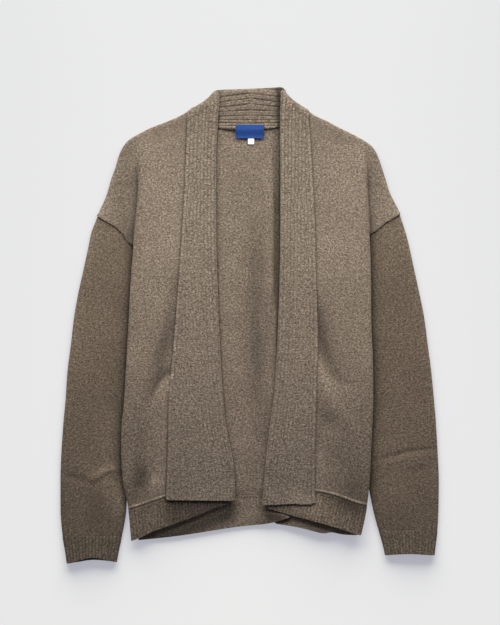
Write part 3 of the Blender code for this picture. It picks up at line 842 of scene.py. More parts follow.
# %% Back panel
# The back's neck line under the stand, and the stand's top edge
NECK = table("""
        x  seam   top
      -58 315.6 371.6
    -55.5 315.5 374.2
      -52 315.3 375.6
      -45   315 376.2
      -22 312.6 376.8
       22 314.6 378.6
       44 318.2 379.8
       50 318.8 380.2
       53   319   379
     55.5 319.1 376.8
       58 319.2 372.6
""")
BACK_HEM_SEAM = -276.8 * MM
RIDGE = {"x": 28 * MM, "wide": 8 * MM, "high": 7.0 * MM, "middle": 125 * MM, "long": 88 * MM}
# Patches of painted shade, painted light where negative: middle (w, y), half sizes, and how dark
BACK_PAINTED_PATCHES = [
    (0, 205, 60, 75, 0.2), (4, 50, 22, 100, 0.28), (-46, 110, 10, 60, 0.1), (0, -212, 46, 52, -0.32),
    (24, -110, 12, 50, -0.12), (8, -45, 24, 42, 0.18),
]  # fmt: skip


def back_end(side, y):
    """How far the back reaches: to the shoulder, the armhole, or the seam under the side."""
    seam = read(FOLDS, side, y) - HALF - TURNED_UNDER * rolled_share(side, y) - 1.2 * MM
    above = np.where(y >= ARMHOLE_TOP[side], read(SHOULDERS, side, y) - HALF, armhole_w(side, y))
    return np.where(y >= ARMHOLE_FOOT[side], above, np.minimum(seam, armhole_w(side, y)))


def back_rows():
    """x and y of straight rows, with closer columns at the ridge. Behind the neck they start lower."""
    y = np.linspace(BODY_TOP, BACK_HEM_SEAM + 0.03 * MM, 190)[:, None]
    fine = np.linspace(-70 * MM, 60 * MM, 105)
    share = np.linspace(0, 1, 34)
    right_end, left_end = -back_end("right", y), back_end("left", y)
    right_part = right_end + (fine[0] - right_end) * share[:-1]
    left_part = fine[-1] + (left_end - fine[-1]) * share[1:]
    x = np.concatenate([right_part, np.broadcast_to(fine, (len(y), len(fine))), left_part], axis=1)
    neck = read(NECK, "seam", x, key="x") + 6 * MM
    down = np.linspace(0, 1, len(y))[:, None]
    return x, np.where(np.abs(x) < 62 * MM, neck + (y[-1] - neck) * down, y)


def back_shade(x, leaning, y):
    """Painted shade in the trough and the valley and as shadows along the bands' inner edges, with the
    painted shade down the height and the painted patches.
    """
    trough = crease(x, y, [(8, 170), (9, 60), (12, -60), (16, -150), (4, -240)], 12, 1.0) / MM
    narrow = crease(x, y, [(27, -100), (27, -150), (20, -225)], 3.5, 1.0) / MM
    shore = (34 + 6 * ramp(y, 60, -50)) * MM
    valley = ease((x - shore) / (4 * MM)) * ramp(y, -70, 60) * (0.45 + 0.4 * ramp(y, 300, -130))
    shade = 0.42 * trough + 0.35 * narrow + 0.95 * valley * (x < 90 * MM)
    for side, sign in SIGN.items():
        inside = read(BANDS, f"{side}_in", y) - sign * leaning
        shade = shade + 0.75 * np.exp(-np.abs(inside) / (2.4 * MM)) * (sign * leaning > 0)
    return shade + painted_shade_by_height(y) + painted_patches(leaning, y, BACK_PAINTED_PATCHES)


def back_grid():
    """The flat rows with the ridge, the trough beside it and small swells between the bands."""
    x, y = back_rows()
    along = ease(1.6 - np.abs(y - RIDGE["middle"]) / RIDGE["long"])
    lift = RIDGE["high"] * bell(x - RIDGE["x"], RIDGE["wide"]) * along
    z = FLOOR_LAYER + lift + crease(x, y, [(12, 150), (14, 60), (18, -60), (20, -170), (8, -250)], 11, -1.0)
    visible = ramp(np.abs(x), 60, -14) * ramp(y, 300, -20) * ease((y - BACK_HEM_SEAM) / (18 * MM))
    z = np.maximum(z, FLOOR_LAYER) + 0.8 * MM * visible * (1 + ripples(x, y, 0.07, 5))
    z = z + visible * crease(x, y, [(-20, 190), (-14, 60), (-18, -80), (-10, -230)], 20, 2.2)
    leaning = x + 0.75 * lift * ease((x - RIDGE["x"] + 6 * MM) / (12 * MM))
    return stacked(leaning, y, z), back_shade(x, leaning, y)


finished(
    "back_cloth", *back_grid(), JERSEY, ["back_panel"], "jersey",
    flat=(0.484, 0.617), held="laid", rests_on=["floor"], area=0.226,
)  # fmt: skip


# %% [markdown]
# ## Hem ribs
# The front hem ribs go on down from the fronts, under a raised welt where the two are linked. Their
# ribs run down the body, 5.2 mm apart. The back's rib runs between the two turned-under sides. Near the
# middle its lower edge is folded over itself in a small wave, so the row of the edge goes back on
# itself for a few centimetres while the seam above stays straight. The rows between the two are shares
# of the way from one to the other, so the wave dies out upwards by itself.

# %% Front hem ribs
RIB_STEP = 5.2 * MM
# Darkening in thousandths: less light reaches the rib beside the band's foot
HEM_SHADE = table("""
      w right left
     20  1180  240
     60  1340   60
     84  1260 -360
    108  1100 -120
    126   900  320
    138   300  620
    150    40  880
    164   -20  860
    195    20  380
""")
# How far the lower edge of the front's hem stands up above where it would lie
HEM_LIFTS = table("""
      w right left
     20     3    3
     50     3  4.2
     80   2.8  7.6
    110   2.4  9.2
    140   1.8    8
    165   1.5  5.4
    195   1.5  4.4
""")


def hem_lift(side, w, y):
    """The front's hem stands up from the back's, and this grows from the seam down to the edge."""
    seam, edge = hem_line(side, "seam", w), hem_line(side, "edge", w)
    return read(HEM_LIFTS, side, w, key="w") * ease((seam - y) / (seam - edge))


def front_hem_grid(side):
    """Sections of the hem rib, blended from the seam's slant to the lower edge's."""
    top = side_seam_foot(side) - 0.7 * MM
    edge = float(hem_line(side, "edge", read(FOLDS, side, -340 * MM)))
    share = np.linspace(0, 1, 26)
    points = even_out(slanted(side, top + (edge - top) * share, 1 - share, share, 320), 300)
    t = share[:, None]
    w, y, z = coordinates(points)
    across = lengths_across(points)
    ridge = rib((across[:, -1:] - across) / RIB_STEP)
    uneven = 0.62 + 0.38 * np.clip(2.2 * ripples(w, y, 0.03, 21) + 0.3, -1, 1)
    fade = ease(t / 0.1) * uneven
    upper = ramp(z, 3.2, 1.0)
    second = bell(t * 52 - 2.6, 1.3) * ramp(w, 60, 50)  # a second, lower welt
    lift = hem_lift(side, w, y) + 1.1 * MM * (ridge - 0.6) * fade
    z += upper * (lift + 0.7 * MM * second)
    # Beyond the fold the rib lies under the body, drawn up towards the seam.
    beyond = np.arange(w.shape[1]) > np.argmax(w, axis=1)[:, None]
    inward = np.clip((np.max(w, axis=1)[:, None] - w) / TURNED_UNDER, 0, 1) * beyond
    y += 9 * MM * inward * t**2
    z += 3.2 * MM * beyond * ramp(z, 8.5, -4) * ease(3 * t)
    shaded = read(HEM_SHADE, side, w, key="w") * (1 - (0.4 * t if side == "right" else ease(t)))
    w *= SIGN[side]
    # Painted shade in the rib grooves, from the table beside the band's foot (painted light where it is
    # negative), and in a line below the welt.
    below_welt = 0.6 * bell(t * 52, 1.1)
    return points, (1 - ridge) * fade * (1 - second) + (shaded + below_welt) * upper


for side in SIGN:
    finished(
        f"front_hem_cloth_{side}", *front_hem_grid(side), TRIM_WOOL, [f"front_hem_{side}"], "rib_trim",
        flat=(0.2, 0.056), held="laid", rests_on=["back_hem_cloth"],
    )  # fmt: skip

# %% Back hem rib
# The lower edge from the wearer's right to left: x, y and height in millimetres
BACK_EDGE = [
    (-178, -345, 4), (-140, -341.4, 5), (-101, -336.6, 4.4), (-62.7, -330.4, 4), (-24.3, -324.2, 3.6),
    (0, -321.6, 3.2), (14, -320.4, 4), (28, -318.6, 6.4), (40, -316, 8.6), (52, -312.6, 10.4),
    (60, -309.2, 11.4), (65, -307.6, 10.6), (60, -311.4, 7.4), (46, -316, 5.4), (38, -318, 4.6),
    (50, -320, 5.6), (75.8, -323.4, 8.4), (96, -328.4, 10.4), (109.4, -332, 11), (117, -333.8, 11),
    (123, -333, 10.8), (129, -331.6, 10.4), (136, -332.4, 9.6), (148.6, -336.2, 7.4), (171, -337.2, 4),
]  # fmt: skip
# Patches of painted shade, painted light where negative: middle (w, y), half sizes, and how dark
BACK_HEM_PAINTED_PATCHES = [
    (36, -303, 22, 16, 0.75), (47, -306, 14, 7, 0.5), (58, -307, 8, 4, 0.7), (50, -320, 9, 4, -0.7),
    (12, -318, 18, 7, 0.2),
]  # fmt: skip


def back_hem_shade(x, y):
    """Shade under the lifted front hems: a wide soft one on the right, a step on the left."""
    shade = painted_patches(x, y, BACK_HEM_PAINTED_PATCHES)
    for side, sign in SIGN.items():
        w = sign * x
        below = np.maximum(hem_line(side, "edge", w) - y, 0) / MM
        if side == "right":
            dark = 1.15 * bell(below - 20, 16) - 0.35 * np.exp(-below / 6)
        else:
            dark = 0.5 * ease((below - 5) / 9) - 0.3 * ease((11 - below) / 8)
        shade += (w > 0) * dark * ramp(w, 10, 26)
    return shade


def back_hem_grid():
    """Rows between the straight seam and the lower edge, whose small wave dies out upwards."""
    count = 420
    edge = np.array(BACK_EDGE) * MM
    lower = even_out((spline_weights(len(edge), 4 * count) @ edge)[None], count)[0]
    share = np.linspace(0, 1, count)
    right_end, left_end = (back_end(side, np.array([BACK_HEM_SEAM]))[0] + 0.5 * MM for side in SIGN)
    upper = stacked(-right_end + share * (right_end + left_end), BACK_HEM_SEAM, FLOOR_LAYER)
    straight = stacked(np.linspace(lower[0, 0], lower[-1, 0], count), lower[:, 1], FLOOR_LAYER)
    t = np.linspace(0, 1, 26)[:, None]
    low = straight + (lower - straight) * ease((t[..., None] - 0.45) / 0.55)
    points = upper + (low - upper) * t[..., None]
    ridge = rib(share * 330 * MM / RIB_STEP)
    fade = ease(t / 0.08)
    x, y, z = coordinates(points)
    z += 0.35 * MM * ridge * fade
    # A dotted row of stitches at the seam; below, a faint painted highlight on the wave's folded rim, and
    # painted shade in the rib grooves and under the lifted front hems.
    stitched = bell(y - BACK_HEM_SEAM, 1.4 * MM) * (0.9 + 0.7 * np.sin(x / MM * 1.3))
    rim = ramp(lower[:, 2], 4.6, 1) * bell((1 - t) * 50, 2)
    return points, 0.2 * (1 - ridge) * fade + back_hem_shade(x, y) + stitched - 0.1 * rim


finished(
    "back_hem_cloth", *back_hem_grid(), JERSEY, ["back_hem"], "rib_trim",
    flat=(0.33, 0.06), held="laid", rests_on=["floor"], area=0.0165,
)  # fmt: skip

# %% [markdown]
# ## Sleeves and cuffs
# A sleeve laid flat is a tube pressed almost flat, with rounded sides. Each ring has fifteen control
# points. The first ring follows the armhole seam, and the tube then runs down to the cuff's seam. The
# creases at the elbow are placed on its upper side, because the real ones are few and their places
# show. A cuff goes on with the same ring, ribbed lengthwise, and the front of its mouth is drawn up in
# a low arch.

# %% Rings of a sleeve
SLEEVES = table("""
       y right_out right_in left_out left_in
     175     242.6    178.2    240.4     183
     145     253.8    175.5    250.2   177.5
     126     257.6    175.5      255     177
      87     265.9    176.5    263.4     178
      50     274.1      179    271.4     181
      15     280.3      184    278.5     185
     -36     286.4      187    285.4     187
     -76     291.5    189.5    290.6     188
    -121     294.6    192.5      295     188
    -160     298.2      195    298.2   187.5
    -217     301.8      196    301.4   187.5
    -250     302.7      196    302.7   189.5
    -295     302.6    197.4    302.2   197.5
    -320     301.2    200.8      301   203.8
    -340     298.8      205    298.9   210.2
    -360       295    209.4    296.2   215.4
    -380     291.8      213      294     219
""")
CUFF_SEAM = {"right": -337.6 * MM, "left": -328.8 * MM}
CUFF_MOUTH = {"right": -379.6 * MM, "left": -368.6 * MM}


def tube_controls(side, y, thick, puff):
    """Control points (w, z) round the flattened tube, from its underside round the outer edge."""
    outer = read(SLEEVES, f"{side}_out", y) - HALF
    inner = read(SLEEVES, f"{side}_in", y) + HALF
    low = np.full(len(y), FLOOR_LAYER)
    top = low + thick
    middle, wide = 0.5 * (outer + inner), outer - inner
    return pairs(
        (inner + 0.3 * wide, low),
        (middle, low),
        (outer - 0.15 * wide, low),
        (outer - 3 * MM, low),
        (outer + 0.6 * MM, low + 0.8 * MM),
        (outer + 0.6 * MM, top - 0.8 * MM),
        (outer - 3 * MM, top + 0.2 * puff),
        (outer - 0.15 * wide, top + 0.8 * puff),
        (middle, top + puff),
        (inner + 0.3 * wide, top + 0.6 * puff),
        (inner + 0.14 * wide, top),
        (inner + 3 * MM, top),
        (inner - 0.6 * MM, top - 0.8 * MM),
        (inner - 0.6 * MM, low + 0.8 * MM),
        (inner + 3 * MM, low),
    )


def ring_rows(side, y, thick, puff, fine, count):
    """Rings read finely from their controls, then spread evenly."""
    section = spline_weights(15, fine, ring=True) @ tube_controls(side, y, thick, puff)
    return even_out(stacked(section[..., 0], y[:, None], section[..., 1]), count, ring=True)


ELBOW = -240 * MM
for side in SIGN:
    flat_wide = read(SLEEVES, f"{side}_out", ELBOW) - read(SLEEVES, f"{side}_in", ELBOW)
    print(side, "sleeve laid flat at the elbow:", round(float(flat_wide) / MM), "mm wide")

# %% Sleeves
SLEEVE_CREASES = {
    "right": [
        ([(299, -239), (280, -243), (262, -249), (252, -252)], 3.6, -1.1, 0.3),
        ([(256, -250), (246, -245), (234, -237), (220, -231), (204, -233)], 4.6, 2, -0.3),
        ([(252, -256), (240, -250), (230, -245)], 4.5, -0.5),
        ([(207, -256), (205, -288), (208, -322)], 9, 1.4),
        ([(240, -270), (236, -300), (240, -326)], 16, -0.9),
    ],
    "left": [
        ([(196, -217), (216, -213), (250, -203), (276, -199), (300, -198)], 3, -1.5, -0.3),
        ([(200, -226), (228, -219), (256, -212), (286, -207)], 7, 0.6),
        ([(244, -236), (266, -233), (284, -228)], 5, -0.8),
        ([(210, -262), (232, -272), (256, -276)], 16, 0.7),
    ],
}
# Patches of painted shade, painted light where negative: middle (w, y), half sizes, and how dark
SLEEVE_PAINTED_PATCHES = {
    "right": [
        (212, -272, 18, 28, -0.5), (228, -250, 14, 36, -0.32), (227, 112, 16, 36, 0.2),
        (227, -190, 15, 60, -0.2), (278, 0, 14, 50, -0.2), (250, 40, 60, 110, -0.06),
        (245, -325, 60, 25, 0.12), (285, -300, 16, 50, 0.15), (302, -285, 7, 46, 0.5),
        (253, -290, 13, 24, 0.22),
    ],
    "left": [
        (210, -190, 18, 90, -0.2), (236, 90, 18, 110, 0.12), (262, -180, 50, 60, -0.1),
        (245, -320, 60, 20, 0.1),
    ],
}  # fmt: skip
SLEEVE_SWELLS = {"right": 12, "left": 17}  # seeds


def sleeve_grid(side):
    """Rings from the armhole seam down to the cuff."""
    top = ARMHOLE_TOP[side]
    share = np.concatenate([np.linspace(0, 0.1, 22)[:-1], np.linspace(0.1, 1, 130)])
    y = top + share * (CUFF_SEAM[side] - top)
    grown = ease(share / 0.2)
    points = ring_rows(side, y, (3.4 + 0.8 * grown) * MM, 2.6 * MM * grown, 150, 140)
    w, height, z = coordinates(points)
    t = share[:, None]
    foot_w = ARMHOLES[f"{side}_w"][FOOT_ROW]
    fold_w = float(read(FOLDS, side, ARMHOLE_FOOT[side]))
    armhole = armhole_y(side, np.maximum(w, foot_w)) - 0.8 * MM - top
    armhole -= 12 * MM * ease((fold_w + 1 * MM - w) / (5 * MM))
    height += armhole * (1 - ease(t / 0.45)) + t * 0.15 * MM
    upper = ramp(z, 3.2, 1.6)
    relief = creases(w, height, SLEEVE_CREASES[side])
    relief = relief + 0.45 * MM * ripples(w, height, 0.09, SLEEVE_SWELLS[side])
    begun = ease(t / 0.1)
    z += upper * (relief * begun - 1.0 * MM * bell(t, 0.006))
    # Painted shade in the creases' troughs and painted light on their ridges, painted shade outside the
    # side fold, a darker line along the armhole seam, the painted patches, and a painted highlight along
    # the sleeve's outer edge.
    groove = np.clip(-relief / (4 * MM), -0.4, 1) * begun + beyond_fold(side, w, height)
    groove = (groove + 0.5 * bell(t, 0.012) + painted_patches(w, height, SLEEVE_PAINTED_PATCHES[side])) * upper
    outer = read(SLEEVES, f"{side}_out", height) - w
    w *= SIGN[side]
    return points, groove - 0.3 * np.exp(-np.maximum(outer, 0) / (5 * MM))


for side in SIGN:
    finished(
        f"sleeve_cloth_{side}", *sleeve_grid(side), SLEEVE_WOOL, [f"sleeve_{side}"], "jersey_sleeve",
        flat=(0.225, 0.51), held="folded", rests_on=["floor"], area=0.1, ring=True,
    )  # fmt: skip

# %% Cuffs
CUFF_RIBS = 34


def cuff_grid(side):
    """Rings of the cuff with ribs along it, drawn up at the front of the mouth."""
    seam, mouth = CUFF_SEAM[side] - 0.15 * MM, CUFF_MOUTH[side]
    share = np.linspace(0, 1, 24)
    rows = seam * (1 - share) + mouth * share
    columns = 256
    points = ring_rows(side, rows, (4.2 + 4.8 * share) * MM, (2.6 + 1.4 * share) * MM, 400, columns)
    w, y, z = coordinates(points)
    t = share[:, None]
    outer, inner = (read(SLEEVES, f"{side}_{edge}", rows)[:, None] for edge in ("out", "in"))
    across = (w - inner) / (outer - inner)
    front = ease((z - FLOOR_LAYER) / (5 * MM))
    arch = np.clip(np.sin(np.pi * across), 0, 1) ** 1.5
    drawn_up = (2.9 + 4.6 * front) * MM if side == "right" else (1.0 + 1.2 * front) * MM
    y += t**2 * arch * drawn_up
    if side == "right":
        y -= 2.4 * MM * t**2 * ease((across - 0.4) / 0.5)
    ridge = rib(np.arange(columns) / columns * CUFF_RIBS)
    fade = ease(t / 0.12)
    normal = face_directions(points)
    outwards = np.sign(np.sum(normal * (points - points.mean(axis=1, keepdims=True))))
    points += outwards * normal * 1.2 * MM * ((ridge - 0.7) * fade)[..., None]
    z[:] = np.maximum(z, FLOOR_LAYER)
    w *= SIGN[side]
    stitches = bell(t - 0.03, 0.03) * (0.7 - 1.2 * ridge)
    # Painted shade in the rib grooves, the seam's row of stitches, and a constant painted shade over the
    # whole cuff, deeper on the right one.
    return points, 0.8 * (1 - ridge) * fade + stitches + (0.5 if side == "right" else 0.34)


for side in SIGN:
    finished(
        f"cuff_cloth_{side}", *cuff_grid(side), TRIM_WOOL, [f"cuff_{side}"], "rib_trim",
        flat=(0.178, 0.042), held="folded", rests_on=["floor"], ring=True,
    )  # fmt: skip

# %% [markdown]
# ## The collar band
# The band is one long ribbed strip that lies turned back on each front and goes on behind the neck.
# On a front its ribs run downwards, clearest beside both edges and almost felted away between. Its
# inner edge is rolled and seamed underneath, its outer edge lies proud of the front. At the shoulder it
# wraps over the edge. Behind the neck the same strip stands with its ribs lying across, so that part
# is a mesh of its own: one grid can't turn its ribs round a corner without stretching them.

# %% Sections of the band
# Height of the rolled inner edge, and the line of the band's foot
BAND_ROLLS = table("""
       y right left
     376     9  9.4
     280   9.4 12.4
     150   9.4   15
       0   9.4   13
    -120   9.4  9.6
    -286   9.2  9.2
""")
BAND_FOOTS = table("""
      w  right   left
     20 -281.2 -288.6
     60 -281.4 -286.9
     74 -281.2   -286
     79   -281 -287.2
     97 -280.8 -287.2
    101 -280.7 -286.2
    104 -280.6 -283.2
    128 -280.2   -283
    133 -278.8   -283
""")
BAND_TOP = {"right": 372.0 * MM, "left": 375.0 * MM}
BAND_FOOT = {"right": -280.0 * MM, "left": -286.5 * MM}
# Patches of painted shade, painted light where negative: middle (w, y), half sizes, and how dark
BAND_PAINTED_PATCHES = {
    "right": [(46, -218, 18, 62, -0.17)],
    "left": [(32, -190, 14, 60, -0.16)],
}
BAND_RIB = 5.6 * MM
FLANGE = 7 * MM  # the seamed edge under the inner roll


def band_controls(side, y):
    """Control points (w, z): outer edge, over the front, inner roll, and the edge seamed below."""
    inner = read(BANDS, f"{side}_in", y) + HALF
    outer = read(BANDS, f"{side}_out", y)
    roll = read(BAND_ROLLS, side, y)
    start = inner + np.minimum(26 * MM, 0.55 * (outer - inner))
    over_w = outer[:, None] + (start - outer)[:, None] * np.linspace(0, 1, 5)
    over_z = front_height(side, over_w, y[:, None]) + CLOTH + 1.0 * MM
    over_z[:, 0] -= 0.3 * MM
    edge, top = outer - HALF, over_z[:, 1]
    wrapped = pairs(
        (edge, GAP),
        (edge, 0.5 * top),
        (edge - 0.6 * MM, top - 1.2 * MM),
        (edge - 2.5 * MM, top),
        (0.5 * (edge + inner) + 1 * MM, top),
    )
    share = ramp(y, 342, 8)[:, None, None]
    over = stacked(over_w, over_z) * (1 - share) + wrapped * share
    last = over[:, -1, 1]
    rise = np.minimum(10 * MM, 0.4 * (outer - inner))
    seamed = ramp(y, 360, -15)
    flange = FLANGE * seamed
    foot = FRONT_LAYER + (roll - 3.4 * MM - FRONT_LAYER) * (1 - seamed)
    rolled = pairs(
        (inner + rise, 0.4 * last + 0.6 * roll),
        (inner + 0.3 * rise, roll),
        (inner + 0.2 * MM, roll - 0.4 * MM),
        (inner - 0.4 * MM, 0.5 * (roll + foot)),
        (inner + 0.2 * MM, foot + 0.6 * MM),
        (inner + 0.45 * flange, foot + 0.1 * MM),
        (inner + flange, foot),
    )
    return np.concatenate([over, rolled], axis=1)


def band_grid(side):
    """The band on a front, from the collar's top down to its foot."""
    share = np.linspace(0, 1, 190)
    y = BAND_TOP[side] + (BAND_FOOT[side] - BAND_TOP[side]) * share
    section = spline_weights(12, 260) @ band_controls(side, y)
    y, t = y[:, None], share[:, None]
    points = even_out(stacked(section[..., 0], y, section[..., 1]), 128)
    w, height, z = coordinates(points)
    across = lengths_across(points)
    inner_edge = np.take_along_axis(across, np.argmin(w, axis=1)[:, None], axis=1)
    from_inner = inner_edge - across
    near_inner, near_outer = bell(from_inner, 24 * MM), bell(across, 12 * MM)
    upper_half = ramp(y, 60, 260)
    faint = 0.3 + 0.55 * upper_half
    strength_in = faint + (0.4 + 0.6 * upper_half - faint * upper_half) * near_inner
    ridge = rib(from_inner / BAND_RIB, 0.8)
    ridge_out = rib(across / BAND_RIB - 0.4, 0.8)
    strength = strength_in * (1 - near_outer) * ease(from_inner / (2 * MM) + 0.4)
    upper = ease(z / (6 * MM)) * (from_inner > -2 * MM)
    normal = face_directions(points)
    normal *= np.sign(np.sum(normal[..., 2]))
    raised = 1.1 * MM * ((ridge - 0.7) * strength + (ridge_out - 0.7) * near_outer)
    points += normal * (raised * upper)[..., None]
    # The band takes over a share of the dimples of the front below.
    relief = 0.55 * creases(w, height, FRONT_CREASES[side][:3]) * ramp(w, 70, 30)
    z += relief * upper + hem_lift(side, w, height)
    foot = read(BAND_FOOTS, side, w, key="w") - BAND_FOOT[side]
    scallop = 0.7 * MM * (ridge - 0.5) * ease((t - 0.985) / 0.015)
    height += foot * ease((t - 0.94) / 0.06) - scallop
    crown = ease((height - BAND_TOP[side] + 5 * MM) / (5 * MM))
    z -= 2.5 * MM * crown**2 * upper
    height -= 2.5 * MM * crown * bell(from_inner, 3.5 * MM)
    painted_ovals = painted_patches(w, height, BAND_PAINTED_PATCHES[side])
    w *= SIGN[side]
    # A painted highlight beside the outer edge, painted shade in the rib grooves, a little painted light
    # over the whole band, the painted shade down the height and the painted patches.
    rim = bell(across - 2.4 * MM, 1.6 * MM) * ramp(y, 330, -60)
    groove = 0.85 * ((1 - ridge) * strength + 0.7 * (1 - ridge_out) * near_outer) * upper - 0.22 * rim
    return points, groove - 0.13 + painted_shade_by_height(height) + painted_ovals


for side in SIGN:
    finished(
        f"band_cloth_{side}", *band_grid(side), BAND_WOOL, [f"collar_band_{side}"], "rib_band",
        flat=(0.125, 0.665), held="folded", rests_on=[f"front_cloth_{side}"], area=0.064, anchor=1.0,
    )  # fmt: skip

# %% Stand of the collar behind the neck
# Heights of the stand's grooves, from the seam up, at its ends and at the centre back
GROOVES = table("""
     side centre
      314  312.6
    318.4  317.2
    322.2  321.4
    327.2  326.6
    332.4  334.2
    340.4  342.6
    346.8  352.4
    354.8  361.4
      363  369.4
    374.6    378
      384    387
""")
CENTRE_BACK = 2.0 * MM


def stand_controls(x):
    """Control points (y, z) at places x: stand, top fold and the fall hidden behind."""
    seam = read(NECK, "seam", x, key="x")
    top = read(NECK, "top", x, key="x") - HALF
    stand = FRONT_LAYER + 0.6 * MM
    return pairs(
        (seam - 2.2 * MM, stand - 0.6 * MM),
        (seam + 6 * MM, stand + 0.4 * MM),
        (seam + 20 * MM, stand + 0.8 * MM),
        (top - 25 * MM, stand + 1.4 * MM),
        (top - 8 * MM, stand + 2.0 * MM),
        (top - 1.5 * MM, stand + 1.6 * MM),
        (top + 0.3 * MM, 0.5 * (stand + FLOOR_LAYER) + 0.8 * MM),
        (top - 1 * MM, FLOOR_LAYER),
        (top - 10 * MM, FLOOR_LAYER),
        (top - 30 * MM, FLOOR_LAYER),
    )


def groove_phase(y, beside):
    """Whole numbers on the grooves, counted up from the seam, and shares between two of them."""
    phase = np.zeros(y.shape)
    lines = [s * beside + c * (1 - beside) for s, c in zip(GROOVES["side"], GROOVES["centre"])]
    for k, (start, end) in enumerate(zip(lines, lines[1:])):
        share = (y - start) / (end - start)
        phase = np.where((share >= 0) & (share < 1), k + share, phase)
    return phase


def stand_grid():
    """Columns of the stand across the neck, with its ribs lying across and a ridge at the centre."""
    x = np.linspace(-57 * MM, 57 * MM, 150)
    section = spline_weights(10, 300) @ stand_controls(x)
    points = even_out(stacked(x[:, None], section[..., 0], section[..., 1]), 150)
    x, y, z = coordinates(points)
    beside = np.clip(np.abs(x - CENTRE_BACK) / (50 * MM), 0, 1)
    phase = groove_phase(y, beside)
    front = ease((z - FLOOR_LAYER - 1.5 * MM) / (1.5 * MM))
    depth = 1.0 + 0.4 * np.sin(9 * phase.round() + x * 70)
    depth = depth * (1 - 0.7 * bell(beside * 50, 3.5)) + 0.3 * ripples(x, y, 0.012, 31)
    ridge = 1 - (1 - rib(phase + 0.5, 0.34)) * np.clip(depth, 0.2, 1.2)
    ridge = ridge - 0.3 * (1 - rib(phase, 0.3)) * ease(phase - 2)
    raised = 2.6 * (ridge - 0.45) * (0.6 + 0.4 * ease((phase - 1.4) / 1.2))
    raised = raised + 0.8 * bell(beside * 50, 4) - 1.8 * ease((beside * 50 - 42) / 8)
    z += front * raised * MM
    # Painted shade in the rib grooves and at both ends of the stand; on the lowest ribs the grooves are
    # painted darker and the ridges lighter.
    ends = 0.75 * bell(x - 48.5 * MM, 7 * MM) + 0.4 * bell(x + 49 * MM, 3 * MM)
    low_down = ease((2.2 - phase) / 0.6)
    groove = (1 - ridge + ends + low_down * (0.6 * (1 - ridge) - 0.3)) * front
    return np.ascontiguousarray(points.transpose(1, 0, 2)), 1.9 * groove.T - 0.1


finished(
    "collar_stand_cloth", *stand_grid(), STAND_WOOL, ["collar_band_right", "collar_band_left"], "rib_band",
    flat=(0.114, 0.105), held="folded", rests_on=["back_cloth"],
)  # fmt: skip

# %% [markdown]
# ## Label and size tab
# The label is a blank strip of blue woven tape, sewn on at its two ends over the collar's lower edge.
# The size tab is a plain white tape that comes out from under it. Both are small, so a grid with a
# slope and a slight wave is enough, and the weave is left to the material.

# %% Woven tape
def tape(name, colour, second, step):
    """Woven tape: fine ribs of weft across, speckled by noise. The groove value darkens it."""
    material, tree, inputs, place, groove = shader_of(name, 0.6, 0.05)
    split = node(tree, "SeparateXYZ", vector=place).outputs
    across = math_node(tree, "SINE", math_node(tree, "MULTIPLY", split["Y"], TURN / step))
    along = math_node(tree, "SINE", math_node(tree, "MULTIPLY", split["X"], TURN / (0.8 * step)))
    weave = math_node(tree, "MULTIPLY_ADD", math_node(tree, "MULTIPLY", across, along), 0.5, 0.5)
    speckle = noise_node(tree, place, 900.0, 2.0, 0.6)
    share = math_node(tree, "MULTIPLY_ADD", speckle, 0.6, math_node(tree, "MULTIPLY", weave, 0.3))
    toned = mix_colours(tree, share, (*colour, 1), (*second, 1))
    dark = (*(0.25 * channel for channel in colour), 1)
    fill(tree, inputs["Base Color"], mix_colours(tree, groove, toned, dark))
    bump = node(tree, "Bump", strength=0.5, distance=0.3 * MM, height=weave)
    fill(tree, inputs["Normal"], bump.outputs[0])
    return material


BLUE_TAPE = tape("blue woven tape", (0.003, 0.021, 0.105), (0.012, 0.048, 0.185), 0.9 * MM)
WHITE_TAPE = tape("white woven tape", (0.78, 0.78, 0.76), (0.92, 0.92, 0.9), 0.7 * MM)
print("tapes:", BLUE_TAPE.name, "and", WHITE_TAPE.name)

# %% Label and tab
LABEL_TOP = 319.4 * MM


def label_grid():
    """The label: flat on the collar, its free lower edge lifted and a little wavy, its ends stitched."""
    x = np.linspace(-22.4 * MM, 22.6 * MM, 140)[None, :]
    t = np.linspace(0, 1, 60)[:, None]
    y = LABEL_TOP - 21.6 * MM * t + 0.25 * MM * np.sin(x * 260) * t
    z = 9.0 * MM - 2.4 * MM * ease((t - 0.3) / 0.6) + 0.35 * MM * np.sin(x * 190 + 1) * t
    stitches = bell(np.abs(x - 0.1 * MM) - 21 * MM, 0.5 * MM) * (np.sin((LABEL_TOP - y) / MM * 2.6) > 0)
    return stacked(x, y, z), 0.8 * stitches


def tab_grid():
    """The size tab: it slopes down from under the label to the back panel."""
    x = np.linspace(-2.6 * MM, 7.2 * MM, 20)
    t = np.linspace(0, 1, 24)[:, None]
    points = stacked(x, 301.5 * MM - 13.0 * MM * t, 5.4 * MM + 0.9 * MM * np.sin(np.pi * t) - 0.6 * MM * t)
    return points, np.zeros(points.shape[:2])


finished(
    "label_tape", *label_grid(), BLUE_TAPE, ["neck_label"], "label",
    flat=(0.045, 0.022), held="laid", rests_on=["collar_stand_cloth"], thickness=0.6 * MM,
)  # fmt: skip
finished(
    "size_tab_tape", *tab_grid(), WHITE_TAPE, ["size_tab"], "size_tab",
    flat=(0.01, 0.0135), held="laid", rests_on=["back_cloth"], thickness=0.5 * MM,
)  # fmt: skip

# %% [markdown]
# ## Floor, light and camera
# The cardigan lies on a plain pale floor. One wide soft light stands past the neck, so the cloth is
# about twice as bright there as at the hem and every shadow falls towards the hem, and a slightly blue
# sky fills the shadows. The floor is painted a little darker near the light, and it glows faintly and
# coolly by itself, which keeps it even and its shadows soft.

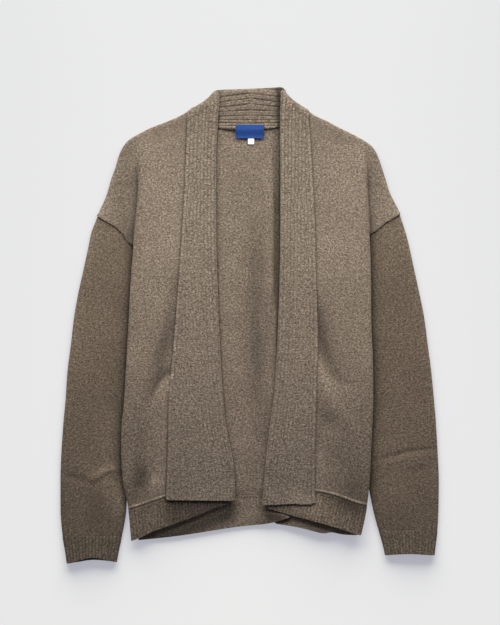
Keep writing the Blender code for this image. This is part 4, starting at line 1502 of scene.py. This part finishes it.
# %% Floor
FLOOR_TONE = (0.036, 0.193, -0.4175, 0.3163)  # a cubic of the distance towards the neck
FLOOR_TINTS = ((-0.007, 0.998), (0.0, 1.0), (0.052, 0.8975))  # slope and value of red, green and blue


def floor_material():
    """Matt floor: grey by a cubic of y, its tint shifting slightly along y, with a faint cool glow of
    painted light that lifts its shadows.
    """
    material = bpy.data.materials.new("pale floor")
    material.use_nodes = True
    tree = material.node_tree
    inputs = tree.nodes["Principled BSDF"].inputs
    inputs["Roughness"].default_value = 0.9
    inputs["Specular IOR Level"].default_value = 0.1
    inputs["Emission Color"].default_value = (0.33, 0.335, 0.385, 1)
    inputs["Emission Strength"].default_value = 1.0
    y = node(tree, "SeparateXYZ", vector=node(tree, "TexCoord").outputs["Object"]).outputs["Y"]
    tone, *steps = FLOOR_TONE
    for step in steps:
        tone = math_node(tree, "MULTIPLY_ADD", tone, y, step)
    colour = node(tree, "CombineColor")
    for socket, (slope, share) in zip(colour.inputs[:3], FLOOR_TINTS):
        tint = math_node(tree, "MULTIPLY_ADD", y, slope, share)
        fill(tree, socket, math_node(tree, "MULTIPLY", tone, tint))
    fill(tree, inputs["Base Color"], colour.outputs[0])
    return material


bpy.ops.mesh.primitive_plane_add(size=6, location=(0, 0, cad_low.z - 0.4 * MM))
floor = bpy.context.object
floor.name = "floor"
floor.data.materials.append(floor_material())
print("floor at", round(floor.location.z / MM, 2), "mm")

# %% Light
world = bpy.data.worlds.new("soft sky")
bpy.context.scene.world = world
world.use_nodes = True
sky = world.node_tree.nodes["Background"].inputs
sky["Color"].default_value = (0.84, 0.85, 1.0, 1)
sky["Strength"].default_value = 0.275

lamp = bpy.data.lights.new("window", "AREA")
lamp.shape = "RECTANGLE"
lamp.size, lamp.size_y = 1.9, 1.08
lamp.energy = 58
lamp.color = (1.0, 0.985, 0.95)
window = bpy.data.objects.new("window", lamp)
window.location = (0, 1.03, 0.59)
window.rotation_euler = (-Vector(window.location)).to_track_quat("-Z", "Y").to_euler()  # towards the middle
window.visible_camera = False
bpy.context.scene.collection.objects.link(window)
print("window light:", lamp.energy, "watts,", round(window.location.length, 2), "m away")

# %% Camera
VIEW_HEIGHT = 1.0  # metres of floor from the top to the bottom of the picture
CAMERA_HEIGHT = 3.2
FOCUS_HEIGHT = 0.005  # the plane that the view height is measured on
camera_data = bpy.data.cameras.new("camera")
camera_data.type = "PERSP"
camera_data.sensor_fit = "VERTICAL"
camera_data.sensor_height = 24
camera_data.lens = 24 * (CAMERA_HEIGHT - FOCUS_HEIGHT) / VIEW_HEIGHT
camera = bpy.data.objects.new("camera", camera_data)
camera.location = (0.0006, 0.0192, CAMERA_HEIGHT)
bpy.context.scene.collection.objects.link(camera)
bpy.context.scene.camera = camera
bpy.context.scene.view_settings.view_transform = "Standard"
print("lens:", round(camera_data.lens, 1), "mm")
